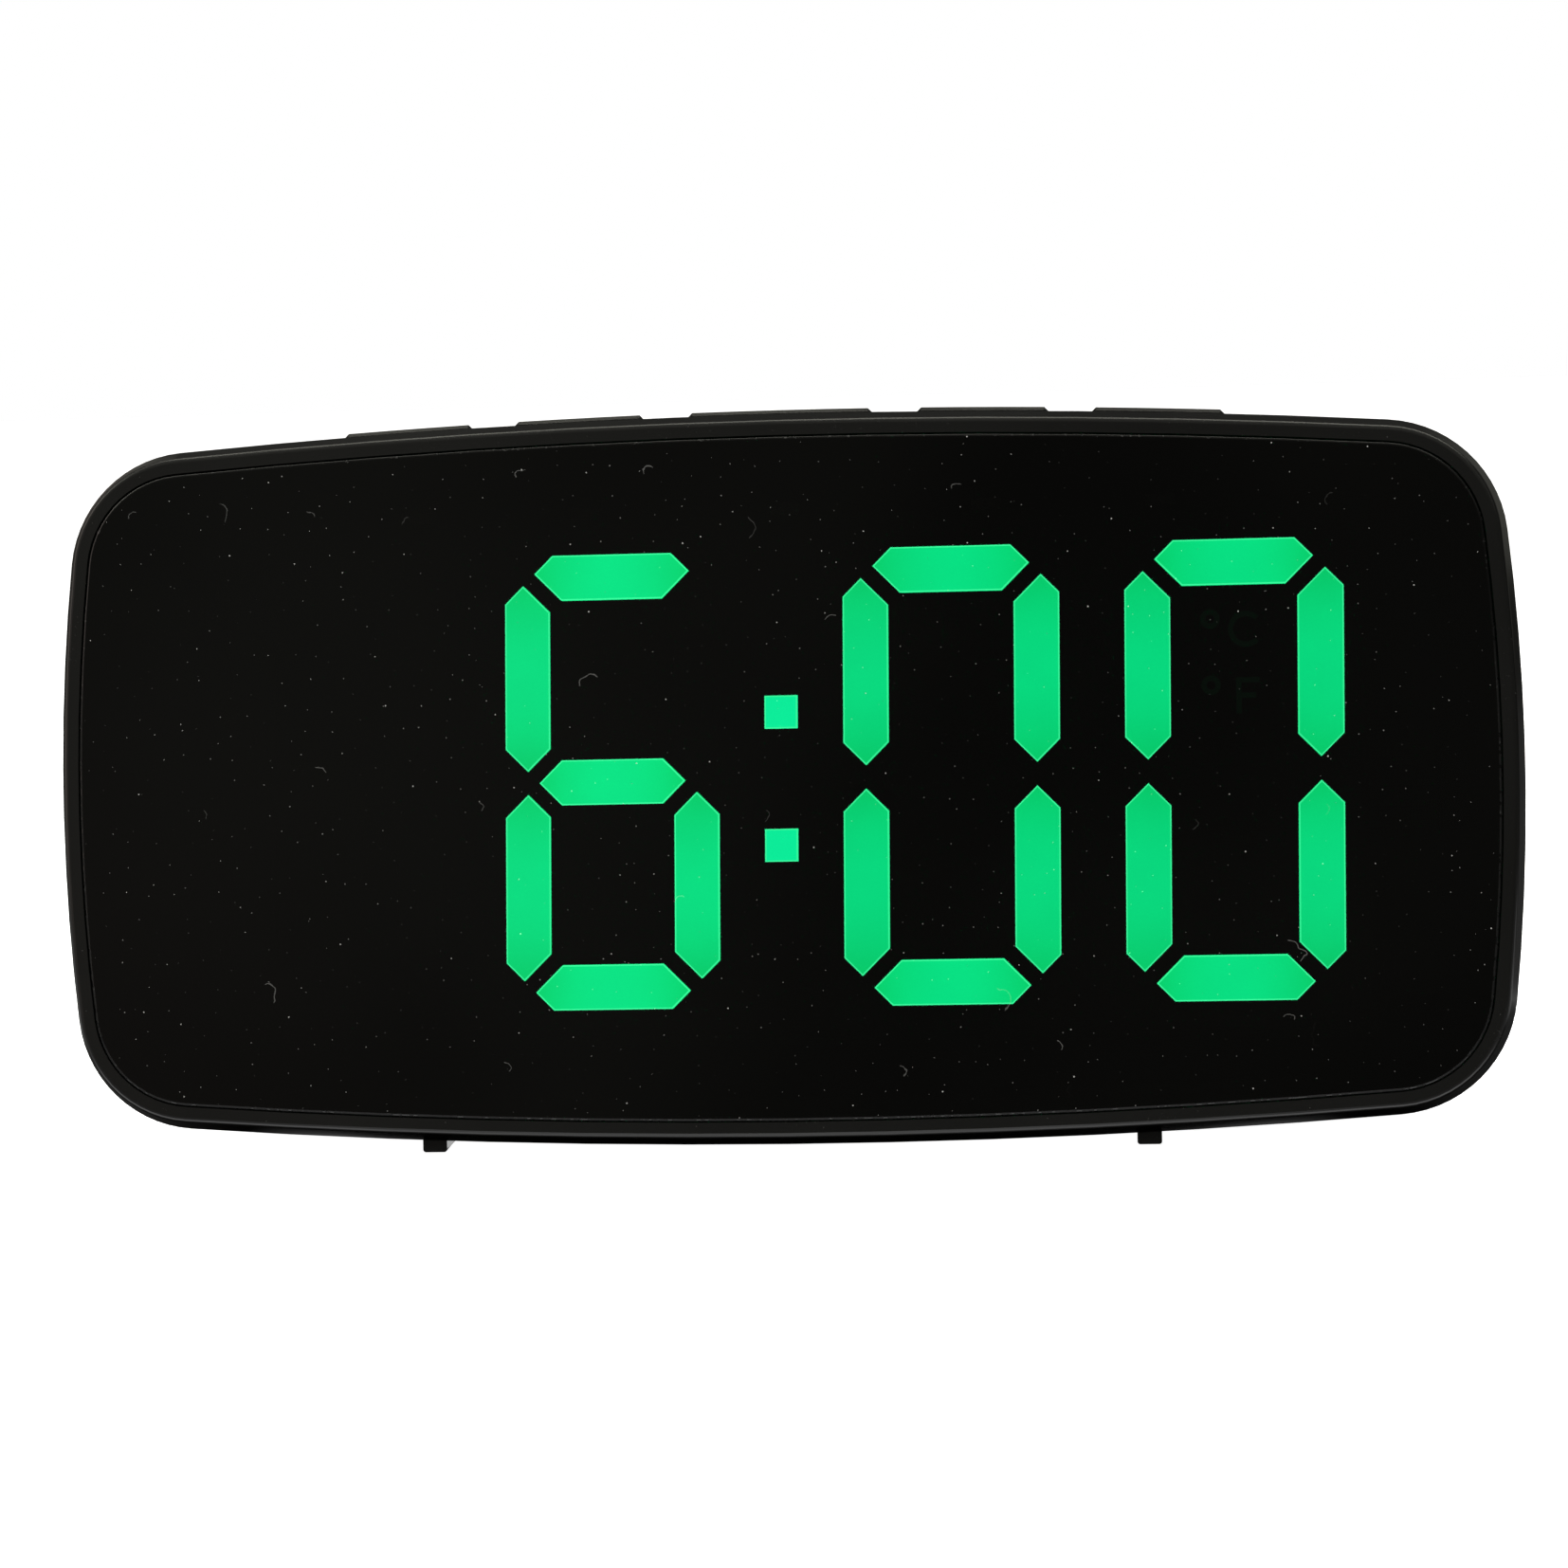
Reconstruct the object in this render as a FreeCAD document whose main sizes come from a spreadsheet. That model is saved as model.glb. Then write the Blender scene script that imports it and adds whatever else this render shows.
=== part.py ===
import FreeCAD, Part
import math
import os
import re
import Sketcher
from FreeCAD import Placement, Rotation, Vector

# A mirror-faced alarm clock with large light-emitting digits and five keys on top.
# Every piece is drawn in the upright case frame: X to the right, Y from the face
# towards the back, Z up along the face, origin at the middle of the face, millimetres.
# One shared placement then leans the whole clock back onto its two runners.

DIMENSIONS = {
    # outline of the face: four shallow arcs joined by corner arcs
    "face_width": 150.0, "face_height": 74.6, "top_radius": 841.0, "side_radius": 217.0,
    "corner_radius": 12.7, "lean_angle": 6.5,
    # front bezel
    "rim_inset": 0.95, "rim_width": 1.5, "rim_edge": 0.55, "flare_depth": 3.0, "split_depth": 4.0,
    "ledge_width": 2.2, "skirt_inset": 2.35, "skirt_wall": 1.3, "skirt_length": 2.5,
    # screw bosses of the bezel, on tabs behind the lens
    "boss_diameter": 6.0, "boss_length": 6.0, "boss_floor": 1.0, "pilot_diameter": 2.0,
    "tab_centre": 67.3, "tab_width": 8.0, "tab_height": 5.0,
    "board_screw_x": 63.8, "board_screw_z": 9.0, "case_screw_x": 64.3, "case_screw_z": 20.0,
    # mirror lens
    "lens_gap": 0.1, "lens_thickness": 2.0, "lens_edge": 0.3, "glue_gap": 0.1,
    # rear housing and its screw posts
    "case_depth": 38.0, "back_inset": 5.0, "back_edge": 2.5, "wall": 1.8,
    "post_diameter": 7.2, "post_gap": 0.1, "counterbore": 5.6, "counterbore_floor": 13.0,
    # runners under the case
    "runner_offset": 36.7, "runner_width": 2.5, "runner_drop": 37.8, "runner_end": 34.0,
    "runner_edge": 0.3, "runner_root": 1.3, "runner_bury": 0.9,
    # digits, colon and unit marks
    "inner_digit": 17.38, "digit_pitch": 28.6, "digit_half_width": 11.0, "digit_half_height": 23.3,
    "stroke": 4.6, "mitre_gap": 1.7, "corner_cut": 4.9, "digit_slant": 0.0134,
    "colon_offset": 6.8, "colon_size": 3.35, "mark_offset": 1.4, "mark_height": 3.6,
    "upper_mark": 14.2, "lower_mark": 7.5, "mark_stroke": 0.5, "degree_ring": 1.44,
    "degree_offset": 3.6, "degree_rise": 1.08, "letter_back": 1.08, "letter_reach": 1.26,
    "letter_middle": 0.9,
    # reflector and display board
    "reflector_front": 2.35, "reflector_depth": 6.95, "reflector_width": 118.6,
    "reflector_height": 52.0, "window_gap": 0.06, "insert_depth": 1.2,
    "board_thickness": 1.6, "board_width": 120.4, "board_height": 55.0,
    "ear_width": 133.0, "ear_height": 26.0, "led_height": 0.8, "led_size": 1.6, "led_spread": 4.2,
    # parts on the back of the display board
    "chip_x": -8.0, "chip_level": -6.0, "chip_length": 17.9, "chip_depth": 2.4, "chip_width": 7.6,
    "crystal_x": 8.0, "crystal_level": -2.0, "crystal_diameter": 2.0, "crystal_length": 6.0,
    "capacitor_x": -30.0, "capacitor_level": 4.0, "capacitor_diameter": 6.3,
    "capacitor_height": 6.0, "capacitor_foot": 0.8, "capacitor_base": 6.6,
    "sounder_diameter": 12.0, "sounder_height": 7.5, "sounder_mouth": 1.0,
    "sensor_x": 30.0, "sensor_level": -22.0, "sensor_diameter": 2.4, "sensor_height": 4.0,
    "connector_x": 34.0, "connector_level": 4.0, "connector_width": 6.0, "connector_depth": 5.0,
    "connector_height": 4.0,
    # keys
    "key_front": 8.0, "key_depth": 9.0, "key_width": 13.6, "snooze_width": 19.2,
    "inner_key": 21.0, "outer_key": 39.0, "key_proud": 1.05, "key_gap": 0.2, "key_travel": 0.5,
    "key_flange": 0.9, "flange_thickness": 0.8, "key_floor": 30.4, "key_edge": 0.45,
    "stem_width": 3.0, "stem_depth": 1.6,
    # switches under the keys
    "switch_width": 6.2, "switch_depth": 3.6, "switch_height": 5.0, "switch_base": 22.3,
    "plunger_top": 28.9, "plunger_sunk": 0.9, "plunger_gap": 0.06, "plunger_well": 1.5,
    # battery bay and its door
    "bay_length": 51.0, "bay_height": 35.0, "bay_level": -3.0, "bay_front": 24.0, "bay_wall": 2.4,
    "door_overlap": 1.4, "door_thickness": 1.6, "door_gap": 0.15,
    "scoop_depth": 1.2, "scoop_diameter": 12.0, "slit_offset": 6.0, "slit_width": 0.8,
    "slit_length": 8.0, "slit_overrun": 2.0, "grip_depth": 0.4, "grip_pitch": 1.6,
    "grip_length": 9.0, "grip_width": 0.7, "tongue_reach": 3.0, "tongue_gap": 0.15,
    "tongue_thickness": 0.8, "tongue_width": 9.0, "door_foot_x": 17.0, "door_foot_width": 6.0,
    # cells, contacts and springs
    "cell_diameter": 10.5, "cell_length": 43.4, "nub_diameter": 3.8, "nub_length": 1.1,
    "cell_shift": 2.15, "cell_pitch": 11.2, "cell_centre": 29.6, "contact_height": 8.0,
    "contact_thickness": 0.4, "spring_wire": 0.6, "spring_radius": 2.9, "spring_length": 5.45,
    # power board, its shelf and its socket
    "power_board_width": 18.0, "power_board_depth": 12.0, "power_board_thickness": 1.2,
    "board_inset": 0.5, "board_end_gap": 0.1, "shelf_thickness": 1.5, "shelf_screw_x": 7.0,
    "shelf_screw_y": 2.5, "shelf_pilot": 1.4,
    "socket_x": 45.0, "socket_level": -14.0, "socket_width": 8.94, "socket_height": 3.26,
    "socket_length": 7.3, "socket_recess": 0.3, "socket_hollow": 6.2, "socket_skin": 0.4,
    "socket_flat": 0.1, "socket_gap": 0.2, "socket_tongue_width": 6.7,
    "socket_tongue_thickness": 0.7, "socket_tongue_length": 5.9, "socket_tongue_bury": 0.5,
    # sound holes
    "sound_x": -45.0, "sound_level": -8.0, "sound_hole": 2.0, "sound_ring": 4.2,
    # screws
    "screw_head": 5.0, "screw_head_height": 2.0, "screw_shank": 1.96, "screw_hole": 2.7,
    "screw_reach": 9.5, "small_head": 3.8, "small_head_height": 1.4, "small_reach": 6.0,
    "tiny_head": 2.6, "tiny_head_height": 1.0, "tiny_shank": 1.36,
    # leads
    "lead_diameter": 1.1, "lead_end_gap": 0.04, "lead_run": 26.2,
}

# formulas used by more than one piece
SHELF_TOP = "socket_level - socket_height / 2 - power_board_thickness"
SHELF_LEVEL = SHELF_TOP + " - shelf_thickness / 2"
SHELF_FRONT = "case_depth - wall - power_board_depth"
SHELF_SCREW_DEPTH = SHELF_FRONT + " + shelf_screw_y"
SWITCH_CENTRE = "(key_front + key_depth / 2)"
BOARD_BACK = "reflector_front + reflector_depth + board_thickness"
SEAT_DEPTH = "lens_thickness + glue_gap"

EDGE_BANDS = 4           # conical bands that stand for one rounded edge
SPRING_TURNS = 4
WIRE_SIDES = 8
GRIP_LINES = 3
CUT_OVERRUN = 1.0        # how far a cutting tool passes each face of its block
CROSS_LENGTH = 0.6       # a screw's cross recess, as shares of its head
CROSS_WIDTH = 0.14
BEND_SHARE = 0.45        # share of the shorter run that a lead's bend takes up
VOLUME_ERROR = 0.02      # largest believable error of a swept tube
NEAR = 0.01              # tolerance for picking edges by place
DIGIT_NAMES = ["digit_1_segments", "digit_2_segments", "digit_3_segments", "digit_4_segments"]
BARS_PER_DIGIT = 7
KEYS = {
    "key_set": ("-outer_key", "key_width"),
    "key_down": ("-inner_key", "key_width"),
    "key_snooze": ("0", "snooze_width"),
    "key_up": ("inner_key", "key_width"),
    "key_alarm": ("outer_key", "key_width"),
}

# The free bends of each lead between its two ends, as points in the case frame.
BATTERY_LEAD_BENDS = {
    "red": [(33, 31, 8.2), (38.5, 28.6, 1.5)],
    "black": [(32, 31, -10), (36.5, 29, -6.5)],
}
SUPPLY_LEAD_BENDS = {
    "red": [(33, 21.8, 4), (37.3, 23.4, -1.3), (43, 24.3, -6.8)],
    "black": [(35, 21.8, 4), (39.3, 23.3, -0.8), (45.2, 24.3, -6.2)],
}
# Where each lead comes down on the power board: across, and the height it turns down from.
LEAD_LANDINGS = {
    ("battery", "red"): (43.2, -6.5), ("battery", "black"): (41.0, -8.5),
    ("supply", "red"): (46.0, -11.0), ("supply", "black"): (48.2, -10.5),
}

doc = FreeCAD.newDocument("alarm_clock")
sheet = doc.addObject("Spreadsheet::Sheet", "Dims")
for row, (name, number) in enumerate(DIMENSIONS.items(), 1):
    sheet.set("A%d" % row, name)
    sheet.set("B%d" % row, str(number))
    sheet.setAlias("B%d" % row, name)
doc.recompute()


# ---------------------------------------------------------------- sizes and bindings

def formula(text):
    """A formula in plain alias names, as an expression on the sheet."""
    return re.sub(r"[a-z_]+", lambda word: "Dims." + word.group(0), text)


def size(text):
    """The present value of a formula."""
    return float(sheet.evalExpression(formula(text)))


def bind(thing, prop, text):
    thing.setExpression(prop, formula(text))


# ---------------------------------------------------------------- sketch helpers

def sketch_on(body, role, name, offset):
    """A sketch on one of the body's origin planes, moved along the plane's normal."""
    plane = [item for item in body.Origin.OriginFeatures if item.Role == role][0]
    sketch = body.newObject("Sketcher::SketchObject", name)
    sketch.AttachmentSupport = [(plane, "")]
    sketch.MapMode = "FlatFace"
    sketch.AttachmentOffset = Placement(Vector(0, 0, size(offset)), Rotation())
    bind(sketch, "AttachmentOffset.Base.z", offset)
    return sketch


def face_sketch(body, name, depth):
    """A sketch seen from the front, at a depth behind the face."""
    return sketch_on(body, "XZ_Plane", name, "-(%s)" % depth)


def limit(sketch, kind, where, text):
    """One dimension of a sketch, bound to the sheet."""
    index = sketch.addConstraint(Sketcher.Constraint(kind, *where, size(text)))
    bind(sketch, "Constraints[%d]" % index, text)


def anchor(sketch, shape, point, across, up):
    """Holds a point of a sketch at a place measured from the sketch's origin."""
    for kind, axis, text in (("DistanceX", -2, across), ("DistanceY", -1, up)):
        reach = size(text)
        if abs(reach) < 1e-9:
            sketch.addConstraint(Sketcher.Constraint("PointOnObject", shape, point, axis))
        elif reach > 0:
            limit(sketch, kind, (-1, 1, shape, point), text)
        else:
            limit(sketch, kind, (shape, point, -1, 1), "-(%s)" % text)


def add_polygon(sketch, corners):
    """A closed outline of straight lines through bound corner points."""
    points = [Vector(size(across), size(up), 0) for across, up in corners]
    lines = [sketch.addGeometry(Part.LineSegment(first, second))
             for first, second in zip(points, points[1:] + points[:1])]
    for here, after in zip(lines, lines[1:] + lines[:1]):
        sketch.addConstraint(Sketcher.Constraint("Coincident", here, 2, after, 1))
    for line, (across, up) in zip(lines, corners):
        anchor(sketch, line, 1, across, up)


def add_rectangle(sketch, across, up, width, height):
    """A rectangle given by its centre and size."""
    left = "(%s) - (%s) / 2" % (across, width)
    right = "(%s) + (%s) / 2" % (across, width)
    low = "(%s) - (%s) / 2" % (up, height)
    high = "(%s) + (%s) / 2" % (up, height)
    add_polygon(sketch, [(left, low), (right, low), (right, high), (left, high)])


def add_circle(sketch, across, up, diameter):
    radius = "(%s) / 2" % diameter
    centre = Vector(size(across), size(up), 0)
    circle = sketch.addGeometry(Part.Circle(centre, Vector(0, 0, 1), size(radius)))
    limit(sketch, "Radius", (circle,), radius)
    anchor(sketch, circle, 3, across, up)


def corner_centre():
    """The centre of the upper right corner arc, tangent inside the top and side arcs."""
    below = size("top_radius - face_height / 2")
    beside = size("side_radius - face_width / 2")
    from_top = size("top_radius - corner_radius")
    from_side = size("side_radius - corner_radius")
    apart = math.hypot(below, beside)
    along = (from_top ** 2 - from_side ** 2 + apart ** 2) / (2 * apart)
    aside = math.sqrt(from_top ** 2 - along ** 2)
    unit_x = -beside / apart
    unit_z = below / apart
    return Vector(along * unit_x + aside * unit_z, -below + along * unit_z - aside * unit_x, 0)


def add_face_outline(sketch, inset):
    """The barrel-shaped outline of the face, drawn in by an even inset."""
    top = size("top_radius - (%s)" % inset)
    side = size("side_radius - (%s)" % inset)
    corner = size("corner_radius - (%s)" % inset)
    below = size("top_radius - face_height / 2")
    beside = size("side_radius - face_width / 2")
    near = corner_centre()
    to_top = math.atan2(near.y + below, near.x)
    to_side = math.atan2(near.y, near.x + beside)
    quarter = math.pi / 2
    axis = Vector(0, 0, 1)

    def arc(centre, radius, start, end):
        return sketch.addGeometry(Part.ArcOfCircle(Part.Circle(centre, axis, radius), start, end))

    arcs = []
    for turn, far, radius, edge in ((0, beside, side, to_side), (1, below, top, quarter - to_top),
                                    (2, beside, side, to_side), (3, below, top, quarter - to_top)):
        middle = turn * quarter
        centre = Vector(-far * math.cos(middle), -far * math.sin(middle), 0)
        arcs.append(arc(centre, radius, middle - edge, middle + edge))
        across = near.x if turn in (0, 3) else -near.x
        up = near.y if turn in (0, 1) else -near.y
        first = to_side if turn in (0, 2) else quarter - to_top
        second = quarter - to_top if turn in (0, 2) else to_side
        arcs.append(arc(Vector(across, up, 0), corner, middle + first, middle + quarter - second))
    for here, after in zip(arcs, arcs[1:] + arcs[:1]):
        sketch.addConstraint(Sketcher.Constraint("Tangent", here, 2, after, 1))
    anchor(sketch, arcs[0], 3, "face_width / 2 - side_radius", "0")
    anchor(sketch, arcs[2], 3, "0", "face_height / 2 - top_radius")
    anchor(sketch, arcs[4], 3, "side_radius - face_width / 2", "0")
    anchor(sketch, arcs[6], 3, "0", "top_radius - face_height / 2")
    for index, arc_index in enumerate(arcs):
        base = ("side_radius", "corner_radius", "top_radius", "corner_radius")[index % 4]
        limit(sketch, "Radius", (arc_index,), "%s - (%s)" % (base, inset))


# ---------------------------------------------------------------- feature helpers

def new_body(label):
    body = doc.addObject("PartDesign::Body", label)
    body.Label = label
    return body


def must_change(body, before, feature, grows):
    """Stops the script if a feature did not add or remove material."""
    doc.recompute()
    change = feature.Shape.Volume - before
    if (grows and change <= 0) or (not grows and change >= 0):
        raise RuntimeError("%s in %s did not change the solid the right way" % (feature.Name, body.Label))


def volume_of(body):
    doc.recompute()
    return body.Shape.Volume if body.Tip and not body.Shape.isNull() else 0.0


def pad(body, sketch, length, reverse=False):
    before = volume_of(body)
    feature = body.newObject("PartDesign::Pad", body.Label + "_pad")
    feature.Profile = sketch
    feature.Reversed = reverse
    bind(feature, "Length", length)
    must_change(body, before, feature, True)
    return feature


def pocket(body, sketch, length, reverse=False):
    before = volume_of(body)
    feature = body.newObject("PartDesign::Pocket", body.Label + "_pocket")
    feature.Profile = sketch
    feature.Reversed = reverse
    bind(feature, "Length", length)
    must_change(body, before, feature, False)
    return feature


def loft(body, first, second, subtract=False):
    before = volume_of(body)
    kind = "SubtractiveLoft" if subtract else "AdditiveLoft"
    feature = body.newObject("PartDesign::" + kind, body.Label + "_loft")
    feature.Profile = first
    feature.Sections = [second]
    feature.Ruled = True
    must_change(body, before, feature, not subtract)
    return feature


def rounded_slope(body, flat, far, radius):
    """A solid from a flat end face, round its edge, and along a slope to a far outline.

    Each end is a depth and an inset. The rounding is a ring of short conical bands."""
    run = size("%s - (%s)" % (far[0], flat[0]))
    slope = math.atan(size("%s - (%s)" % (flat[1], far[1])) / abs(run))
    turn = math.pi / 2 - slope
    tangent = math.tan(turn / 2)
    rings = []
    for step in range(EDGE_BANDS + 1):
        angle = turn * step / EDGE_BANDS
        deep = math.copysign(1 - math.cos(angle), run)
        rings.append(("%s + %s * (%.6f)" % (flat[0], radius, deep),
                      "%s + %s * (%.6f)" % (flat[1], radius, tangent - math.sin(angle))))
    rings.append(far)
    for near, after in zip(rings, rings[1:]):
        first = face_sketch(body, "ring", near[0])
        add_face_outline(first, near[1])
        second = face_sketch(body, "ring", after[0])
        add_face_outline(second, after[1])
        loft(body, first, second)


def edges_where(shape, test):
    """The names of the edges whose bounding box passes a test."""
    return ["Edge%d" % (index + 1) for index, edge in enumerate(shape.Edges) if test(edge.BoundBox)]


def round_edges(body, base, radius, test):
    feature = body.newObject("PartDesign::Fillet", body.Label + "_round")
    feature.Base = (base, edges_where(base.Shape, test))
    bind(feature, "Radius", radius)
    doc.recompute()
    return feature


def flat_at(box, depth):
    """True for an edge that lies wholly at one depth."""
    return abs(box.YMin - depth) < NEAR and abs(box.YMax - depth) < NEAR


def box(label, centre, extent):
    """A bound block: centre in X and Z, front face in Y."""
    block = doc.addObject("Part::Box", label)
    block.Label = label
    for prop, text in zip(("Length", "Width", "Height"), extent):
        bind(block, prop, text)
    across, front, up = centre
    bind(block, "Placement.Base.x", "(%s) - (%s) / 2" % (across, extent[0]))
    bind(block, "Placement.Base.y", front)
    bind(block, "Placement.Base.z", "(%s) - (%s) / 2" % (up, extent[2]))
    return block


def rod(label, start, along, diameter, length):
    """A bound cylinder from a start point along X, Y or Z."""
    cylinder = doc.addObject("Part::Cylinder", label)
    cylinder.Label = label
    turns = {"x": Rotation(Vector(0, 1, 0), 90), "y": Rotation(Vector(1, 0, 0), -90), "z": Rotation()}
    cylinder.Placement = Placement(Vector(), turns[along])
    bind(cylinder, "Radius", "(%s) / 2" % diameter)
    bind(cylinder, "Height", length)
    for prop, text in zip(("x", "y", "z"), start):
        bind(cylinder, "Placement.Base." + prop, text)
    return cylinder


def join(label, pieces):
    whole = doc.addObject("Part::MultiFuse", label)
    whole.Label = label
    whole.Shapes = pieces
    return whole


def cut(label, base, tool):
    result = doc.addObject("Part::Cut", label)
    result.Label = label
    result.Base = base
    result.Tool = tool
    return result


def group(label, pieces):
    """Separate solids that share one node."""
    together = doc.addObject("Part::Compound", label)
    together.Label = label
    together.Links = pieces
    return together


def shape_piece(label, shape):
    piece = doc.addObject("Part::Feature", label)
    piece.Label = label
    piece.Shape = shape
    return piece


# ---------------------------------------------------------------- casing

def front_bezel():
    body = new_body("front_bezel")
    rounded_slope(body, ("0", "rim_inset"), ("flare_depth", "0"), "rim_edge")
    wall = face_sketch(body, "wall_outline", "flare_depth")
    add_face_outline(wall, "0")
    pad(body, wall, "split_depth - flare_depth", reverse=True)
    seat = face_sketch(body, "lens_seat", "0")
    add_face_outline(seat, "rim_inset + rim_width")
    pocket(body, seat, SEAT_DEPTH)
    window = face_sketch(body, "display_window", "0")
    add_face_outline(window, "rim_inset + rim_width + ledge_width")
    pocket(body, window, "split_depth")
    skirt = face_sketch(body, "skirt_ring", "split_depth")
    add_face_outline(skirt, "skirt_inset")
    add_face_outline(skirt, "skirt_inset + skirt_wall")
    pad(body, skirt, "skirt_length", reverse=True)
    tabs = face_sketch(body, "tab_outline", SEAT_DEPTH)
    for side in ("", "-"):
        for level in ("board_screw_z", "-board_screw_z", "case_screw_z", "-case_screw_z"):
            add_rectangle(tabs, side + "tab_centre", level, "tab_width", "tab_height")
    pad(body, tabs, "split_depth - (%s)" % SEAT_DEPTH, reverse=True)
    case_bosses = face_sketch(body, "case_bosses", SEAT_DEPTH)
    board_bosses = face_sketch(body, "board_bosses", SEAT_DEPTH)
    for side in ("", "-"):
        for flip in ("", "-"):
            add_circle(case_bosses, side + "case_screw_x", flip + "case_screw_z", "boss_diameter")
            add_circle(board_bosses, side + "board_screw_x", flip + "board_screw_z", "boss_diameter")
    pad(body, case_bosses, "boss_length", reverse=True)
    pad(body, board_bosses, "reflector_front + reflector_depth - (%s)" % SEAT_DEPTH, reverse=True)
    case_pilots = face_sketch(body, "case_pilots", SEAT_DEPTH + " + boss_length")
    board_pilots = face_sketch(body, "board_pilots", "reflector_front + reflector_depth")
    for side in ("", "-"):
        for flip in ("", "-"):
            add_circle(case_pilots, side + "case_screw_x", flip + "case_screw_z", "pilot_diameter")
            add_circle(board_pilots, side + "board_screw_x", flip + "board_screw_z", "pilot_diameter")
    pocket(body, case_pilots, "boss_length - boss_floor", reverse=True)
    pocket(body, board_pilots, "small_reach", reverse=True)


def mirror_lens():
    body = new_body("mirror_lens")
    outline = face_sketch(body, "lens_outline", "0")
    add_face_outline(outline, "rim_inset + rim_width + lens_gap")
    sheet_pad = pad(body, outline, "lens_thickness", reverse=True)
    round_edges(body, sheet_pad, "lens_edge", lambda box: flat_at(box, 0))


def rear_housing():
    body = new_body("rear_housing")
    shell(body)
    battery_bay(body)
    screw_posts(body)
    power_shelf(body)
    key_slots(body)
    sound_holes(body)
    runners(body)


def shell(body):
    """The tapered cover, solid first and then hollowed from its mouth."""
    rounded_slope(body, ("case_depth", "back_inset"), ("split_depth", "0"), "back_edge")
    inner_mouth = face_sketch(body, "inner_mouth", "split_depth")
    add_face_outline(inner_mouth, "wall")
    inner_back = face_sketch(body, "inner_back", "case_depth - wall")
    add_face_outline(inner_back, "wall + back_inset")
    loft(body, inner_mouth, inner_back, subtract=True)


def battery_bay(body):
    outside = face_sketch(body, "bay_outside", "bay_front - bay_wall")
    add_rectangle(outside, "0", "bay_level", "bay_length + 2 * bay_wall", "bay_height + 2 * bay_wall")
    pad(body, outside, "case_depth - wall - bay_front + bay_wall", reverse=True)
    inside = face_sketch(body, "bay_inside", "bay_front")
    add_rectangle(inside, "0", "bay_level", "bay_length", "bay_height")
    pocket(body, inside, "case_depth - bay_front")
    rebate = face_sketch(body, "door_rebate", "case_depth - door_thickness")
    add_rectangle(rebate, "0", "bay_level", "bay_length + 2 * door_overlap",
                  "bay_height + 2 * door_overlap")
    pocket(body, rebate, "door_thickness")
    scoop = face_sketch(body, "finger_scoop", "case_depth - scoop_depth")
    add_circle(scoop, "0", "bay_level + bay_height / 2 + door_overlap", "scoop_diameter")
    pocket(body, scoop, "scoop_depth")


def screw_posts(body):
    """Four posts that meet the bezel's bosses, with deep counterbores from the back."""
    places = [(side + "case_screw_x", flip + "case_screw_z") for side in ("", "-") for flip in ("", "-")]
    top = SEAT_DEPTH + " + boss_length + post_gap"
    for name, start, across, make, length in (
            ("posts", top, "post_diameter", pad, "case_depth - wall - (%s)" % top),
            ("screw_holes", top, "screw_hole", pocket, "case_depth - (%s)" % top),
            ("counterbores", "counterbore_floor", "counterbore", pocket, "case_depth - counterbore_floor")):
        sketch = face_sketch(body, name, start)
        for side, flip in places:
            add_circle(sketch, side, flip, across)
        make(body, sketch, length, reverse=(make is pad))


def power_shelf(body):
    """The shelf that carries the power board, and the opening for the socket."""
    shelf = face_sketch(body, "shelf", SHELF_FRONT)
    add_rectangle(shelf, "socket_x", SHELF_LEVEL, "power_board_width", "shelf_thickness")
    pad(body, shelf, "power_board_depth", reverse=True)
    opening = face_sketch(body, "socket_opening", "case_depth - wall")
    add_rectangle(opening, "socket_x", "socket_level", "socket_width + 2 * socket_gap",
                  "socket_height + 2 * socket_gap")
    pocket(body, opening, "wall")
    pilots = sketch_on(body, "XY_Plane", "shelf_pilots", SHELF_TOP)
    for side in ("-", "+"):
        add_circle(pilots, "socket_x %s shelf_screw_x" % side, SHELF_SCREW_DEPTH, "shelf_pilot")
    pocket(body, pilots, "shelf_thickness")


def key_slots(body):
    slots = sketch_on(body, "XY_Plane", "key_slots", "face_height")
    for centre, width in KEYS.values():
        add_rectangle(slots, centre, "key_front + key_depth / 2", width + " + 2 * key_gap",
                      "key_depth + 2 * key_gap")
    pocket(body, slots, "face_height - key_floor + key_travel")


def sound_holes(body):
    """A ring of six small holes round a seventh, in front of the sounder."""
    holes = face_sketch(body, "sound_holes", "case_depth - wall")
    add_circle(holes, "sound_x", "sound_level", "sound_hole")
    pocket(body, holes, "wall")
    ring = face_sketch(body, "sound_ring", "case_depth - wall")
    for index in range(6):
        across = math.cos(index * math.pi / 3)
        up = math.sin(index * math.pi / 3)
        add_circle(ring, "sound_x + sound_ring * (%.6f)" % across,
                   "sound_level + sound_ring * (%.6f)" % up, "sound_hole")
    pocket(body, ring, "wall")


def runners(body):
    """Two thin ribs from front to back; their undersides carry the clock, leaning back."""
    rise = math.tan(math.radians(size("lean_angle")))
    taper = size("back_inset / (case_depth - split_depth)")
    low_back = "(runner_end - split_depth) * %.6f - runner_drop" % rise
    root_front = "runner_root - runner_drop + runner_bury"
    root_back = root_front + " + (runner_end - split_depth) * %.6f" % taper
    for side in ("", "-"):
        start = "%srunner_offset - runner_width / 2" % side
        profile = sketch_on(body, "YZ_Plane", "runner", start)
        add_polygon(profile, [("split_depth", "-runner_drop"), ("runner_end", low_back),
                              ("runner_end", root_back), ("split_depth", root_front)])
        pad(body, profile, "runner_width")
    drop = size("runner_drop")
    round_edges(body, body.Tip, "runner_edge",
                lambda box: box.ZMin < -drop + NEAR and box.ZMax > size(low_back) - NEAR
                and box.XLength < NEAR)


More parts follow.
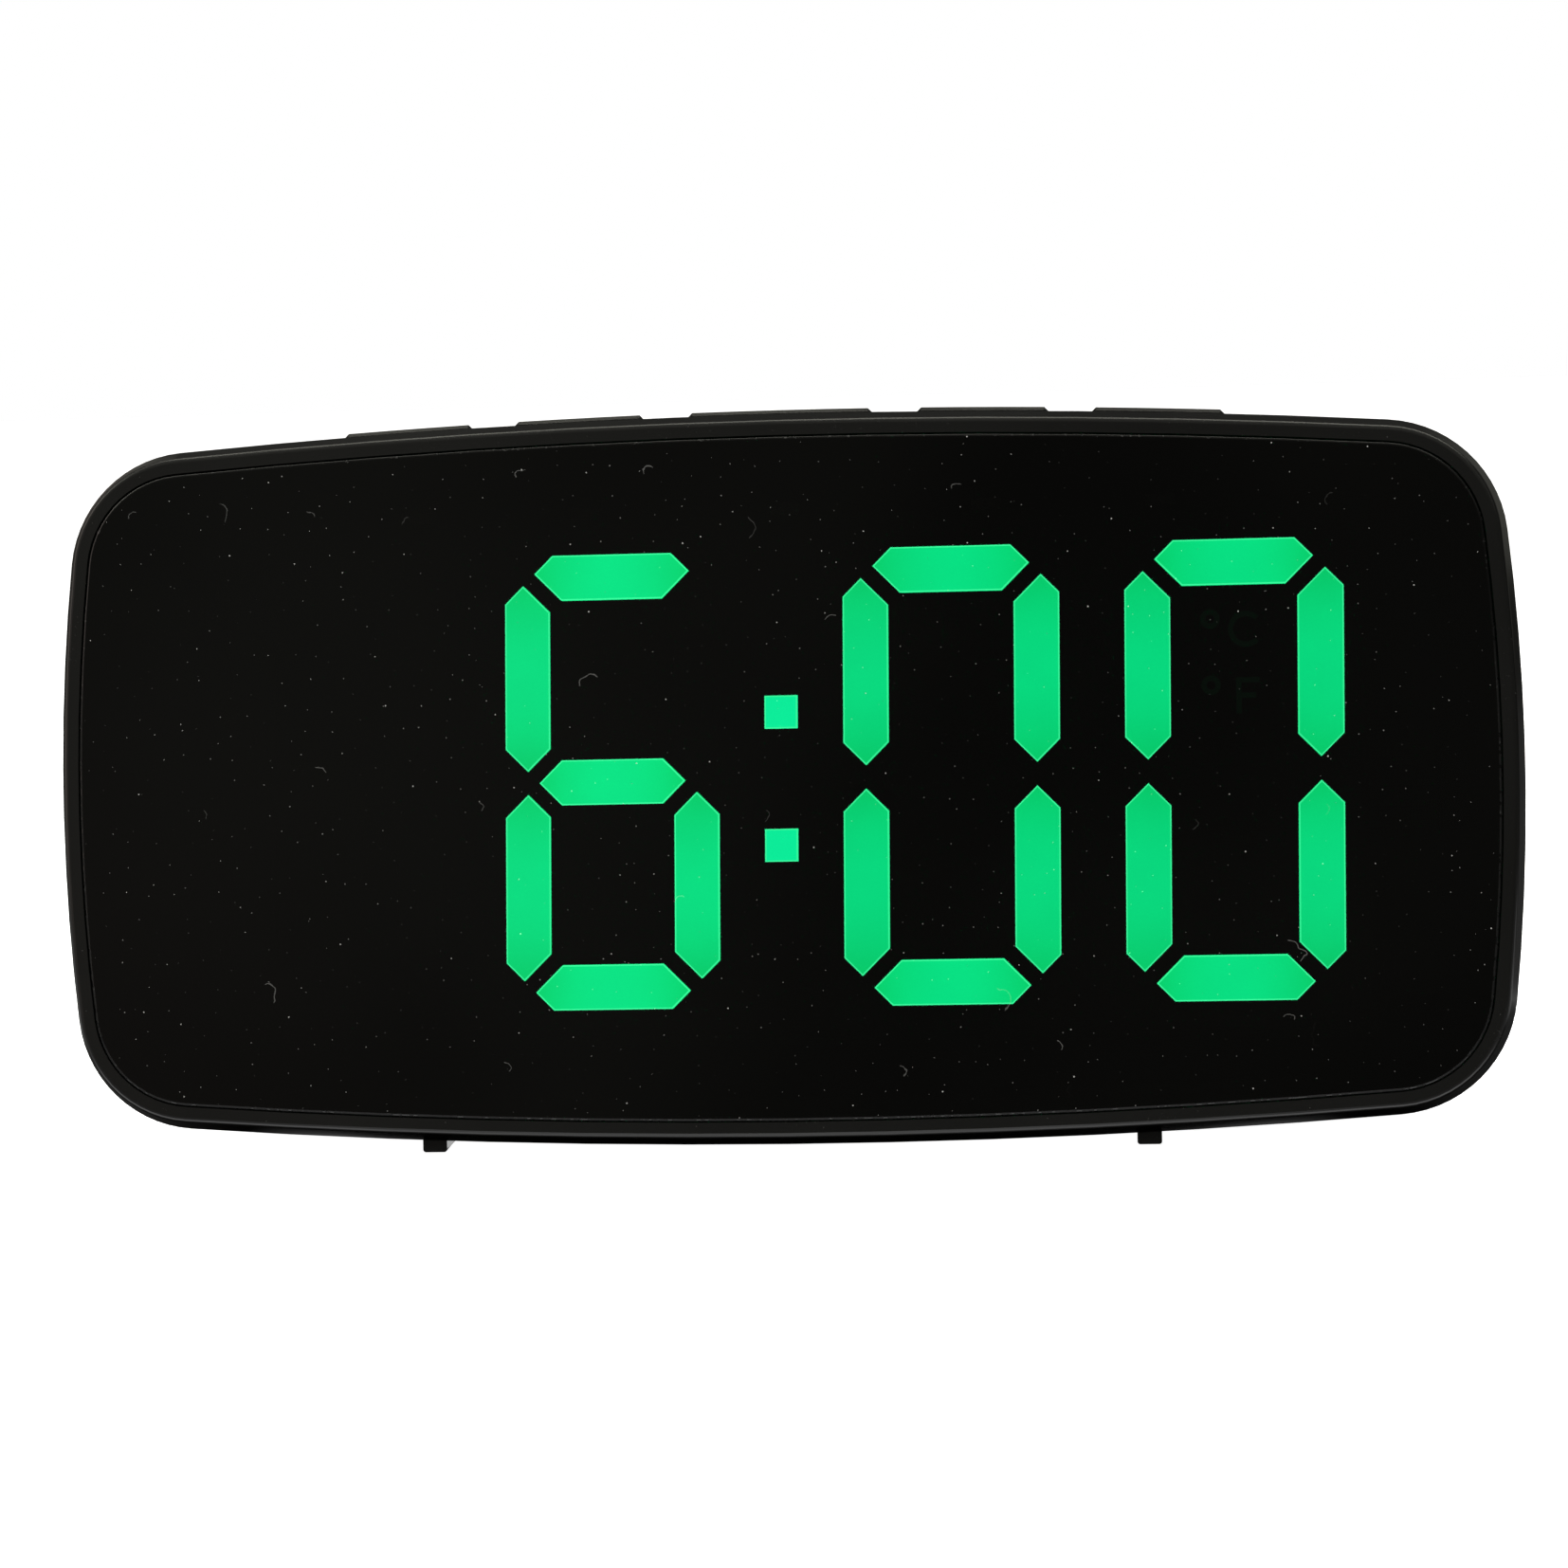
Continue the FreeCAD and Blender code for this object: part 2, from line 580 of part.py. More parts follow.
def battery_door():
    """A plate that pulls straight off, with a sprung tongue above and two feet below."""
    body = new_body("battery_door")
    inner = "case_depth - door_thickness"
    width = "bay_length + 2 * door_overlap - 2 * door_gap"
    height = "bay_height + 2 * door_overlap - 2 * door_gap"
    plate = face_sketch(body, "door_plate", inner)
    add_rectangle(plate, "0", "bay_level", width, height)
    pad(body, plate, "door_thickness", reverse=True)
    slits = face_sketch(body, "tongue_slits", inner)
    for side in ("", "-"):
        add_rectangle(slits, side + "slit_offset",
                      "bay_level + bay_height / 2 - slit_length / 2 + slit_overrun",
                      "slit_width", "slit_length")
    pocket(body, slits, "door_thickness")
    grips = face_sketch(body, "grip_grooves", "case_depth - grip_depth")
    for line in range(GRIP_LINES):
        add_rectangle(grips, "0", "bay_level + bay_height / 2 - grip_pitch * %d" % (line + 1),
                      "grip_length", "grip_width")
    pocket(body, grips, "grip_depth")
    tongue = face_sketch(body, "tongue", inner + " - tongue_reach")
    add_rectangle(tongue, "0", "bay_level + bay_height / 2 - tongue_gap - tongue_thickness / 2",
                  "tongue_width", "tongue_thickness")
    for side in ("", "-"):
        add_rectangle(tongue, side + "door_foot_x",
                      "bay_level - bay_height / 2 + tongue_gap + tongue_thickness / 2",
                      "door_foot_width", "tongue_thickness")
    pad(body, tongue, "tongue_reach", reverse=True)


# ---------------------------------------------------------------- display

def segment_outlines():
    """The seven bars of one digit as corner lists, without slant: top, sides, middle, bottom."""
    wide = size("digit_half_width")
    high = size("digit_half_height")
    bar = size("stroke")
    half_gap = size("mitre_gap") / math.sqrt(2)
    cut_line = high + wide - size("corner_cut")
    diagonal = high - wide
    tip = ((diagonal + half_gap - cut_line) / 2, (diagonal + half_gap + cut_line) / 2)
    inner = high - bar
    top = [(high - cut_line, high), (cut_line - high, high), (-tip[0], tip[1]),
           (inner - diagonal - half_gap, inner), (diagonal + half_gap - inner, inner), tip]
    end = ((diagonal - half_gap - cut_line) / 2, (diagonal - half_gap + cut_line) / 2)
    column = wide - bar / 2
    shoulder = half_gap + bar / 2
    left = [end, (-wide, cut_line - wide), (-wide, shoulder), (-column, half_gap),
            (bar - wide, shoulder), (bar - wide, diagonal - half_gap + wide - bar)]
    point = column - half_gap
    half_bar = bar / 2
    middle = [(-point, 0), (half_bar - point, half_bar), (point - half_bar, half_bar), (point, 0),
              (point - half_bar, -half_bar), (half_bar - point, -half_bar)]
    mirrored = [(-across, up) for across, up in left]
    return [top, left, mirrored, middle, [(-a, -b) for a, b in left],
            [(-a, -b) for a, b in mirrored], [(-a, -b) for a, b in top]]


def slanted_prism(outline, centre, front, depth, grow=0.0):
    """An outline, leant over by the digit slant and drawn out towards the back."""
    slant = size("digit_slant")
    points = [Vector(centre + across + slant * up, front, up) for across, up in outline]
    wire = Part.makePolygon(points + points[:1])
    if grow:
        wire = wire.makeOffset2D(grow)
    return Part.Face(wire).extrude(Vector(0, depth, 0))


def square_outline(level):
    half = size("colon_size") / 2
    return [(-half, level - half), (half, level - half), (half, level + half), (-half, level + half)]


def digit_centres():
    inner = size("inner_digit")
    pitch = size("digit_pitch")
    return [-inner - pitch, -inner, inner, inner + pitch]


def window_outlines():
    """Every lit opening of the display with its centre: four digits, then the colon."""
    digits = [(centre, outline) for centre in digit_centres() for outline in segment_outlines()]
    colon = [(0.0, square_outline(size("colon_offset"))), (0.0, square_outline(-size("colon_offset")))]
    return digits + colon


def segment_inserts():
    """Clear light inserts, one per window, that fill the front of the reflector."""
    front = size("reflector_front")
    depth = size("insert_depth")
    solids = [slanted_prism(outline, centre, front, depth) for centre, outline in window_outlines()]
    for index, label in enumerate(DIGIT_NAMES):
        first = index * BARS_PER_DIGIT
        shape_piece(label, Part.makeCompound(solids[first:first + BARS_PER_DIGIT]))
    shape_piece("colon_dots", Part.makeCompound(solids[len(DIGIT_NAMES) * BARS_PER_DIGIT:]))


def mark_solids(front, depth, grow):
    """The degree C and degree F marks: a ring and a letter, each twice."""
    tall = size("mark_height") / 2
    line = size("mark_stroke")
    thick = line / 2 + grow
    centre = digit_centres()[3] + size("mark_offset")
    upper = size("upper_mark")
    lower = size("lower_mark")
    axis = Vector(0, 1, 0)

    def band(across, up, radius, start, end):
        middle = Vector(across, front, up)
        outer = Part.makeCylinder(radius + thick, depth, middle, axis, end - start)
        inner = Part.makeCylinder(radius - thick, depth, middle, axis)
        ring = outer.cut(inner)
        ring.rotate(middle, axis, start)
        return ring

    def bar(left, low, right, high):
        corners = [(left - grow, low - grow), (right + grow, low - grow),
                   (right + grow, high + grow), (left - grow, high + grow)]
        points = [Vector(across, front, up) for across, up in corners]
        return Part.Face(Part.makePolygon(points + points[:1])).extrude(axis * depth)

    rings = [band(centre - size("degree_offset"), level + size("degree_rise"),
                  size("degree_ring") / 2, 0, 360) for level in (upper, lower)]
    letter_c = band(centre, upper, tall - line / 2, 135, 405)
    left = centre - size("letter_back")
    stem = bar(left, lower - tall, left + line, lower + tall)
    arms = [bar(left, lower + tall - line, centre + size("letter_reach"), lower + tall),
            bar(left, lower - line / 2, centre + size("letter_middle"), lower + line / 2)]
    letter_f = stem.fuse(arms).removeSplitter()
    return rings + [letter_c, letter_f]


def unit_marks():
    solids = mark_solids(size("reflector_front"), size("insert_depth"), 0)
    shape_piece("unit_marks", Part.makeCompound(solids))


def display_reflector():
    """The black block whose windows keep each bar's light to itself."""
    block = box("reflector_block", ("0", "reflector_front", "0"),
                ("reflector_width", "reflector_depth", "reflector_height"))
    gap = size("window_gap")
    front = size("reflector_front") - CUT_OVERRUN
    depth = size("reflector_depth") + 2 * CUT_OVERRUN
    solids = [slanted_prism(outline, centre, front, depth, gap) for centre, outline in window_outlines()]
    solids += mark_solids(front, depth, gap)
    windows = shape_piece("reflector_windows", Part.makeCompound(solids))
    cut("display_reflector", block, windows)


def display_board():
    body = new_body("display_board")
    front = "reflector_front + reflector_depth"
    plate = face_sketch(body, "board_plate", front)
    add_rectangle(plate, "0", "0", "board_width", "board_height")
    pad(body, plate, "board_thickness", reverse=True)
    ears = face_sketch(body, "board_ears", front)
    add_rectangle(ears, "0", "0", "ear_width", "ear_height")
    pad(body, ears, "board_thickness", reverse=True)
    holes = face_sketch(body, "board_holes", front)
    for side in ("", "-"):
        for flip in ("", "-"):
            add_circle(holes, side + "board_screw_x", flip + "board_screw_z", "screw_hole")
    pocket(body, holes, "board_thickness")


def segment_leds():
    """Small surface-mounted emitters: two behind each bar, one behind each dot and mark."""
    board = size("reflector_front + reflector_depth")
    tall = size("led_height")
    half = size("led_size") / 2
    slant = size("digit_slant")
    spots = []
    for centre, outline in window_outlines():
        across = [point[0] for point in outline]
        up = [point[1] for point in outline]
        middle = ((min(across) + max(across)) / 2, (min(up) + max(up)) / 2)
        reach = size("led_spread") if len(outline) == 6 else 0
        upright = max(up) - min(up) > max(across) - min(across)
        for sign in ((-1, 1) if reach else (0,)):
            spot_x = middle[0] + (0 if upright else sign * reach)
            spot_z = middle[1] + (sign * reach if upright else 0)
            spots.append((centre + spot_x + slant * spot_z, spot_z))
    leds = [Part.makeBox(2 * half, tall, 2 * half, Vector(x - half, board - tall, z - half))
            for x, z in spots]
    shape_piece("segment_leds", Part.makeCompound(leds))


def board_parts():
    """What sits on the back of the display board."""
    chip = box("chip_block", ("chip_x", BOARD_BACK, "chip_level"),
               ("chip_length", "chip_depth", "chip_width"))
    group("controller_chip", [chip])
    crystal = rod("crystal_can", ("crystal_x", BOARD_BACK + " + crystal_diameter / 2", "crystal_level"),
                  "x", "crystal_diameter", "crystal_length")
    group("clock_crystal", [crystal])
    can = rod("capacitor_can", ("capacitor_x", BOARD_BACK + " + capacitor_foot", "capacitor_level"),
              "y", "capacitor_diameter", "capacitor_height")
    foot = box("capacitor_plate", ("capacitor_x", BOARD_BACK, "capacitor_level"),
               ("capacitor_base", "capacitor_foot", "capacitor_base"))
    join("smoothing_capacitor", [can, foot])
    sounder = rod("sounder_can", ("sound_x", BOARD_BACK, "sound_level"),
                  "y", "sounder_diameter", "sounder_height")
    mouth_depth = BOARD_BACK + " + sounder_height - sounder_mouth"
    mouth = rod("sounder_hole", ("sound_x", mouth_depth, "sound_level"), "y", "sound_hole", "sounder_mouth")
    cut("alarm_sounder", sounder, mouth)
    bead = rod("sensor_bead", ("sensor_x", BOARD_BACK, "sensor_level"),
               "y", "sensor_diameter", "sensor_height")
    group("temperature_sensor", [bead])
    plug = box("connector_block", ("connector_x", BOARD_BACK, "connector_level"),
               ("connector_width", "connector_depth", "connector_height"))
    group("board_connector", [plug])


# ---------------------------------------------------------------- keys

def key_outline(sketch, centre, width, rise):
    """A key seen from the front: flat floor, straight sides, bevels, and a top that follows the case."""
    bevel = size("key_edge")
    right = size("%s + (%s) / 2" % (centre, width))
    left = size("%s - (%s) / 2" % (centre, width))
    below = size("top_radius - face_height / 2")
    radius = size("top_radius + (%s)" % rise)
    floor = size("key_floor")
    hub = Vector(0, -below, 0)
    right_tip = Vector(right - bevel, math.sqrt(radius ** 2 - (right - bevel) ** 2) - below, 0)
    left_tip = Vector(left + bevel, math.sqrt(radius ** 2 - (left + bevel) ** 2) - below, 0)
    right_side = Vector(right, right_tip.y - bevel, 0)
    left_side = Vector(left, left_tip.y - bevel, 0)
    crown = Part.ArcOfCircle(Part.Circle(hub, Vector(0, 0, 1), radius),
                             math.atan2(right_tip.y + below, right_tip.x),
                             math.atan2(left_tip.y + below, left_tip.x))
    lines = [Part.LineSegment(Vector(left, floor, 0), Vector(right, floor, 0)),
             Part.LineSegment(Vector(right, floor, 0), right_side),
             Part.LineSegment(right_side, right_tip), crown,
             Part.LineSegment(left_tip, left_side),
             Part.LineSegment(left_side, Vector(left, floor, 0))]
    base, side, slope, arc, far_slope, far_side = [sketch.addGeometry(line) for line in lines]
    ring = [base, side, slope, arc, far_slope, far_side]
    for here, after in zip(ring, ring[1:] + ring[:1]):
        sketch.addConstraint(Sketcher.Constraint("Coincident", here, 2, after, 1))
    anchor(sketch, base, 1, "%s - (%s) / 2" % (centre, width), "key_floor")
    anchor(sketch, base, 2, "%s + (%s) / 2" % (centre, width), "key_floor")
    sketch.addConstraint(Sketcher.Constraint("Vertical", side))
    sketch.addConstraint(Sketcher.Constraint("Vertical", far_side))
    for line, low, high in ((slope, 1, 2), (far_slope, 2, 1)):
        limit(sketch, "DistanceY", (line, low, line, high), "key_edge")
    limit(sketch, "DistanceX", (slope, 2, slope, 1), "key_edge")
    limit(sketch, "DistanceX", (far_slope, 2, far_slope, 1), "key_edge")
    anchor(sketch, arc, 3, "0", "face_height / 2 - top_radius")
    limit(sketch, "Radius", (arc,), "top_radius + (%s)" % rise)


def key_cap(label, centre, width):
    """A key that follows the slope and curve of the case, on a wider flange inside it."""
    body = new_body(label)
    slope = "(back_inset / (case_depth - split_depth))"
    rings = []
    for name, back, sunk in (("cap_front", "0", "key_edge"), ("crown_front", "key_edge", "0"),
                             ("crown_back", "key_depth - key_edge", "0"),
                             ("cap_back", "key_depth", "key_edge")):
        rings.append((name, "key_front + " + back, "key_proud - (%s) * %s - %s" % (back, slope, sunk)))
    for near, after in zip(rings, rings[1:]):
        first = face_sketch(body, near[0], near[1])
        key_outline(first, centre, width, near[2])
        second = face_sketch(body, after[0], after[1])
        key_outline(second, centre, width, after[2])
        loft(body, first, second)
    flange = face_sketch(body, "flange", "key_front - key_flange")
    add_rectangle(flange, centre, "key_floor + flange_thickness / 2", width + " + 2 * key_flange",
                  "flange_thickness")
    pad(body, flange, "key_depth + 2 * key_flange", reverse=True)
    stem = sketch_on(body, "XY_Plane", "stem", "plunger_top + plunger_gap")
    add_rectangle(stem, centre, SWITCH_CENTRE, "stem_width", "stem_depth")
    pad(body, stem, "key_floor - plunger_top - plunger_gap + flange_thickness / 2")


def switch_parts(name, centre):
    """A side-push switch under a key: its fixed case and the plunger that travels."""
    place = (centre, BOARD_BACK, "switch_base + switch_height / 2")
    case = box(name + "_case", place, ("switch_width", "switch_depth", "switch_height"))
    well = box(name + "_well", (centre, SWITCH_CENTRE + " - stem_depth / 2 - plunger_gap",
                                "switch_base + switch_height - plunger_well / 2"),
               ("stem_width + 2 * plunger_gap", "stem_depth + 2 * plunger_gap", "plunger_well"))
    low = "(switch_base + switch_height - plunger_sunk)"
    button = box(name + "_button", (centre, SWITCH_CENTRE + " - stem_depth / 2",
                                    "(plunger_top + %s) / 2" % low),
                 ("stem_width", "stem_depth", "plunger_top - %s" % low))
    group(name + "_plunger", [button])
    return cut(name + "_switch", case, well)


# ---------------------------------------------------------------- power

def cell_levels():
    return ["bay_level + cell_pitch", "bay_level", "bay_level - cell_pitch"]


def aaa_cell(label, level, nub_side):
    """A cell lying across the bay with its nub towards +X or -X."""
    start = "-cell_length / 2 + %d * cell_shift" % nub_side
    can = rod(label + "_can", (start, "cell_centre", level), "x", "cell_diameter", "cell_length")
    nub_start = start + (" + cell_length" if nub_side > 0 else " - nub_length")
    nub = rod(label + "_nub", (nub_start, "cell_centre", level), "x", "nub_diameter", "nub_length")
    join(label, [can, nub])


def contact_plates():
    """Four nickel plates: one at each end of the chain and two that bridge neighbours."""
    half = "(bay_length / 2 - contact_thickness / 2)"
    pitch = "cell_pitch"
    single = "contact_height"
    double = "contact_height + " + pitch
    places = [("-" + half, "bay_level + " + pitch, single),
              ("-" + half, "bay_level - %s / 2" % pitch, double),
              (half, "bay_level + %s / 2" % pitch, double),
              (half, "bay_level - " + pitch, single)]
    plates = [box("contact", (across, "cell_centre - contact_height / 2", level),
                  ("contact_thickness", "contact_height", tall)) for across, level, tall in places]
    group("battery_contacts", plates)


def battery_springs():
    """Coil springs at the flat end of each cell, of faceted wire."""
    wire = size("spring_wire") / 2
    length = size("spring_length") - 2 * wire
    radius = size("spring_radius")
    half = size("bay_length / 2 - contact_thickness") - wire
    corners = [Vector(radius + wire * math.cos(2 * math.pi * side / WIRE_SIDES), 0,
                      wire * math.sin(2 * math.pi * side / WIRE_SIDES)) for side in range(WIRE_SIDES)]
    coils = []
    for side, level in ((-1, "bay_level + cell_pitch"), (1, "bay_level"), (-1, "bay_level - cell_pitch")):
        path = Part.makeHelix(length / SPRING_TURNS, length, radius)
        coil = Part.Wire(path).makePipeShell([Part.makePolygon(corners + corners[:1])], True, True)
        coil.Placement = Placement(Vector(side * half, size("cell_centre"), size(level)),
                                   Rotation(Vector(0, 1, 0), -90 * side))
        coils.append(coil)
    shape_piece("battery_springs", Part.makeCompound(coils))


def power_inlet():
    """The socket board on its shelf, with its metal-shelled inlet facing the back."""
    plate = box("power_plate", ("socket_x", SHELF_FRONT + " + board_inset",
                                SHELF_TOP + " + power_board_thickness / 2"),
                ("power_board_width", "power_board_depth - board_inset - board_end_gap",
                 "power_board_thickness"))
    holes = [rod("power_board_hole", ("socket_x %s shelf_screw_x" % side, SHELF_SCREW_DEPTH, SHELF_TOP),
                 "z", "shelf_pilot", "power_board_thickness") for side in ("-", "+")]
    cut("power_board", plate, join("power_board_holes", holes))
    mouth = "case_depth - socket_recess"
    shell_block = box("socket_shell", ("socket_x", mouth + " - socket_length", "socket_level"),
                      ("socket_width", "socket_length", "socket_height"))
    hollow_block = box("socket_cavity", ("socket_x", mouth + " - socket_hollow", "socket_level"),
                       ("socket_width - 2 * socket_skin", "socket_hollow",
                        "socket_height - 2 * socket_skin"))
    outside = round_ends(shell_block, "(socket_height - socket_flat) / 2")
    inside = round_ends(hollow_block, "(socket_height - socket_flat) / 2 - socket_skin")
    open_shell = cut("socket_open", outside, inside)
    tongue = box("socket_tongue", ("socket_x", mouth + " - socket_hollow - socket_tongue_bury",
                                   "socket_level"),
                 ("socket_tongue_width", "socket_tongue_length", "socket_tongue_thickness"))
    join("usb_socket", [open_shell, tongue])


def round_ends(block, radius):
    """The block with the edges that run from front to back rounded."""
    doc.recompute()
    rounded = doc.addObject("Part::Fillet", block.Label + "_rounded")
    rounded.Base = block
    corner = size(radius)
    rounded.Edges = [(index, corner, corner) for index, edge in enumerate(block.Shape.Edges, 1)
                     if edge.BoundBox.YLength > block.Shape.BoundBox.YLength / 2]
    return rounded


def screw_solid(place, head, tall, shank, reach):
    """A screw pointing to the front, its head behind and a cross recess in the head."""
    front = Vector(0, -1, 0)
    body = Part.makeCylinder(shank / 2, reach, place, front)
    cap = Part.makeCylinder(head / 2, tall, place, Vector(0, 1, 0))
    whole = body.fuse(cap).removeSplitter()
    long = head * CROSS_LENGTH
    short = head * CROSS_WIDTH
    for across, up in ((long, short), (short, long)):
        corner = place + Vector(-across / 2, tall / 2, -up / 2)
        whole = whole.cut(Part.makeBox(across, tall / 2, up, corner))
    return whole


def screws():
    corners = [(side, flip) for side in (1, -1) for flip in (1, -1)]
    shank = size("screw_shank")
    case_screws = [screw_solid(Vector(side * size("case_screw_x"), size("counterbore_floor"),
                                      flip * size("case_screw_z")),
                               size("screw_head"), size("screw_head_height"), shank, size("screw_reach"))
                   for side, flip in corners]
    shape_piece("case_screws", Part.makeCompound(case_screws))
    board_screws = [screw_solid(Vector(side * size("board_screw_x"), size(BOARD_BACK),
                                       flip * size("board_screw_z")),
                                size("small_head"), size("small_head_height"), shank, size("small_reach"))
                    for side, flip in corners]
    shape_piece("board_screws", Part.makeCompound(board_screws))
    top = size(SHELF_TOP + " + power_board_thickness")
    deep = size(SHELF_SCREW_DEPTH)
    pair = []
    for side in (-1, 1):
        screw = screw_solid(Vector(), size("tiny_head"), size("tiny_head_height"),
                            size("tiny_shank"), size("power_board_thickness + shelf_thickness"))
        screw.Placement = Placement(Vector(size("socket_x") + side * size("shelf_screw_x"), deep, top),
                                    Rotation(Vector(1, 0, 0), 90))
        pair.append(screw)
    shape_piece("power_board_screws", Part.makeCompound(pair))


def lead(label, route):
    """A round lead along straight runs with tangent arcs between them."""
    points = [Vector(*point) for point in route]
    edges = []
    here = points[0]
    for before, corner, after in zip(points, points[1:], points[2:]):
        arriving = (corner - before).normalize()
        leaving = (after - corner).normalize()
        turn = arriving.getAngle(leaving)
        run = min((corner - before).Length, (after - corner).Length)
        setback = BEND_SHARE * run
        radius = setback / math.tan(turn / 2)
        print("%s: bend radius %.1f mm" % (label, radius))
        first = corner - arriving * setback
        last = corner + leaving * setback
        bisector = (leaving - arriving).normalize()
        bulge = corner + bisector * (radius / math.cos(turn / 2) - radius)
        edges.append(Part.makeLine(here, first))
        edges.append(Part.Arc(first, bulge, last).toShape())
        here = last
    edges.append(Part.makeLine(here, points[-1]))
    path = Part.Wire(edges)
    start = (points[1] - points[0]).normalize()
    ring = Part.Wire(Part.Circle(points[0], start, size("lead_diameter") / 2).toShape())
    tube = path.makePipeShell([ring], True, True)
    expected = math.pi * (size("lead_diameter") / 2) ** 2 * path.Length
    if abs(tube.Volume - expected) > VOLUME_ERROR * expected:
        raise RuntimeError("%s is not an even tube" % label)
    shape_piece(label, tube)


def leads():
    """Battery leads to the power board, and the supply pair to the display board."""
    bay_face = size("bay_length / 2 + bay_wall + lead_end_gap")
    plug_face = size(BOARD_BACK + " + connector_depth + lead_end_gap")
    landing_face = size(SHELF_TOP + " + power_board_thickness + lead_end_gap")
    run = size("lead_run")

    def landing(kind, colour):
        across, turn_down = LEAD_LANDINGS[kind, colour]
        return [(across, run, turn_down), (across, run, landing_face)]

    for colour, bends in BATTERY_LEAD_BENDS.items():
        start = (bay_face,) + bends[0][1:]
        lead("battery_lead_" + colour, [start] + bends + landing("battery", colour))
    for colour, bends in SUPPLY_LEAD_BENDS.items():
        across, _, up = bends[0]
        start = (across, plug_face, up)
        lead("supply_lead_" + colour, [start] + bends + landing("supply", colour))


# ---------------------------------------------------------------- assembly

front_bezel()
mirror_lens()
rear_housing()
battery_door()
segment_inserts()
unit_marks()
display_reflector()
display_board()
segment_leds()
board_parts()
switches = []
for key_name, (key_centre, key_across) in KEYS.items():
    key_cap(key_name, key_centre, key_across)
    switches.append(switch_parts(key_name, key_centre))
group("tact_switches", switches)
for cell, (cell_level, cell_side) in enumerate(zip(cell_levels(), (1, -1, 1)), 1):
    aaa_cell("aaa_cell_%d" % cell, cell_level, cell_side)
contact_plates()
battery_springs()
power_inlet()
screws()
leads()
doc.recompute()

NODES = (["front_bezel", "mirror_lens", "rear_housing", "battery_door", "display_reflector"]
         + DIGIT_NAMES + ["colon_dots", "unit_marks", "display_board", "segment_leds"]
         + ["controller_chip", "clock_crystal", "smoothing_capacitor", "alarm_sounder"]
         + ["temperature_sensor", "board_connector", "tact_switches"]
         + list(KEYS) + [name + "_plunger" for name in KEYS]
         + ["aaa_cell_1", "aaa_cell_2", "aaa_cell_3", "battery_contacts", "battery_springs"]
         + ["power_board", "usb_socket", "case_screws", "board_screws", "power_board_screws"]
         + ["battery_lead_red", "battery_lead_black", "supply_lead_red", "supply_lead_black"])

failed = [item.Label for item in doc.Objects if "Invalid" in item.State or "Error" in item.State]
if failed:
    raise RuntimeError("failed objects: %s" % ", ".join(failed))
pieces = {}
for node in NODES:
    piece = doc.getObjectsByLabel(node)[0]
    if piece.Shape.isNull() or not piece.Shape.isValid():
        raise RuntimeError("%s has no valid shape" % node)
    pieces[node] = piece

# The whole clock leans back, and stands with its runners on the plane Z = 0 and the
# middle of its bounding box over the origin.
lean = Rotation(Vector(1, 0, 0), -size("lean_angle"))
reach = FreeCAD.BoundBox()
for piece in pieces.values():
    leant = piece.Shape.copy()
    leant.Placement = Placement(Vector(), lean).multiply(leant.Placement)
    reach.add(leant.optimalBoundingBox())
stand = Placement(Vector(-reach.Center.x, -reach.Center.y, -reach.ZMin), lean)
for piece in pieces.values():
    piece.Placement = stand
doc.recompute()

os.makedirs("parts", exist_ok=True)
for node, piece in pieces.items():
    piece.Shape.exportStep("parts/%s.step" % node)
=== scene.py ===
"""The looks of the alarm clock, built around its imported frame. Lengths are in metres."""

import math

import bmesh
import bpy
from mathutils import Matrix, Vector


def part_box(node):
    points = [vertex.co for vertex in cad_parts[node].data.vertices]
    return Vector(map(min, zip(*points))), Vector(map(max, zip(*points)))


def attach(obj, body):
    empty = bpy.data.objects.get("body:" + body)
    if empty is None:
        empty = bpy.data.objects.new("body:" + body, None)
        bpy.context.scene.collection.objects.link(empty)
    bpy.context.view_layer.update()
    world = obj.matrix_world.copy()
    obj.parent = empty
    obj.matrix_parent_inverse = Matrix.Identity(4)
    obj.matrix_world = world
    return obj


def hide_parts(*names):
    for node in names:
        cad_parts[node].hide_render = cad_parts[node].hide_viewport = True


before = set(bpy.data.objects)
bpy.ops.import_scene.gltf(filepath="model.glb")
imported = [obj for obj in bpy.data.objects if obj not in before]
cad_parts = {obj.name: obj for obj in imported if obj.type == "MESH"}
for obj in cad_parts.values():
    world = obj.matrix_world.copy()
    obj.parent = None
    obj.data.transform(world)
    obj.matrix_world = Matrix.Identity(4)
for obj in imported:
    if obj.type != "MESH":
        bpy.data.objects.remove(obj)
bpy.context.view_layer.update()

MM = 0.001

# The face leans back, and its own frame is X right, Y from the face to the back, Z up the face. The
# middle of the reflector lies that far behind the face.
FACE_LEAN = math.radians(6.5)
REFLECTOR_MIDDLE = 5.825 * MM

# Below this height, the housing's faces are the runners'.
RUNNER_TOP = 3.5 * MM

# Where a dry cell's copper-coloured band starts, from the cell's middle.
CELL_BAND = (9.9 * MM, 10 * MM)

# How fine brushing is along X, Y and Z.
BRUSHING = (300, 4000, 4000)

# The camera, in the face's frame, with its roll about the line of sight. Its lens and sensor are in
# millimetres.
CAMERA_PLACE = (37.081 * MM, -396.252 * MM, -5.747 * MM)
CAMERA_AIM = (0.492 * MM, 0.0, -0.591 * MM)
CAMERA_ROLL = math.radians(1.664)
CAMERA_LENS = 90.14
CAMERA_SENSOR = 36.0

# Lit segments by digit, with the usual letters: a top, then clockwise, and g in the middle.
LIT_BARS = {
    "digit_1_segments": "",
    "digit_2_segments": "acdefg",
    "digit_3_segments": "abcdef",
    "digit_4_segments": "abcdef",
}

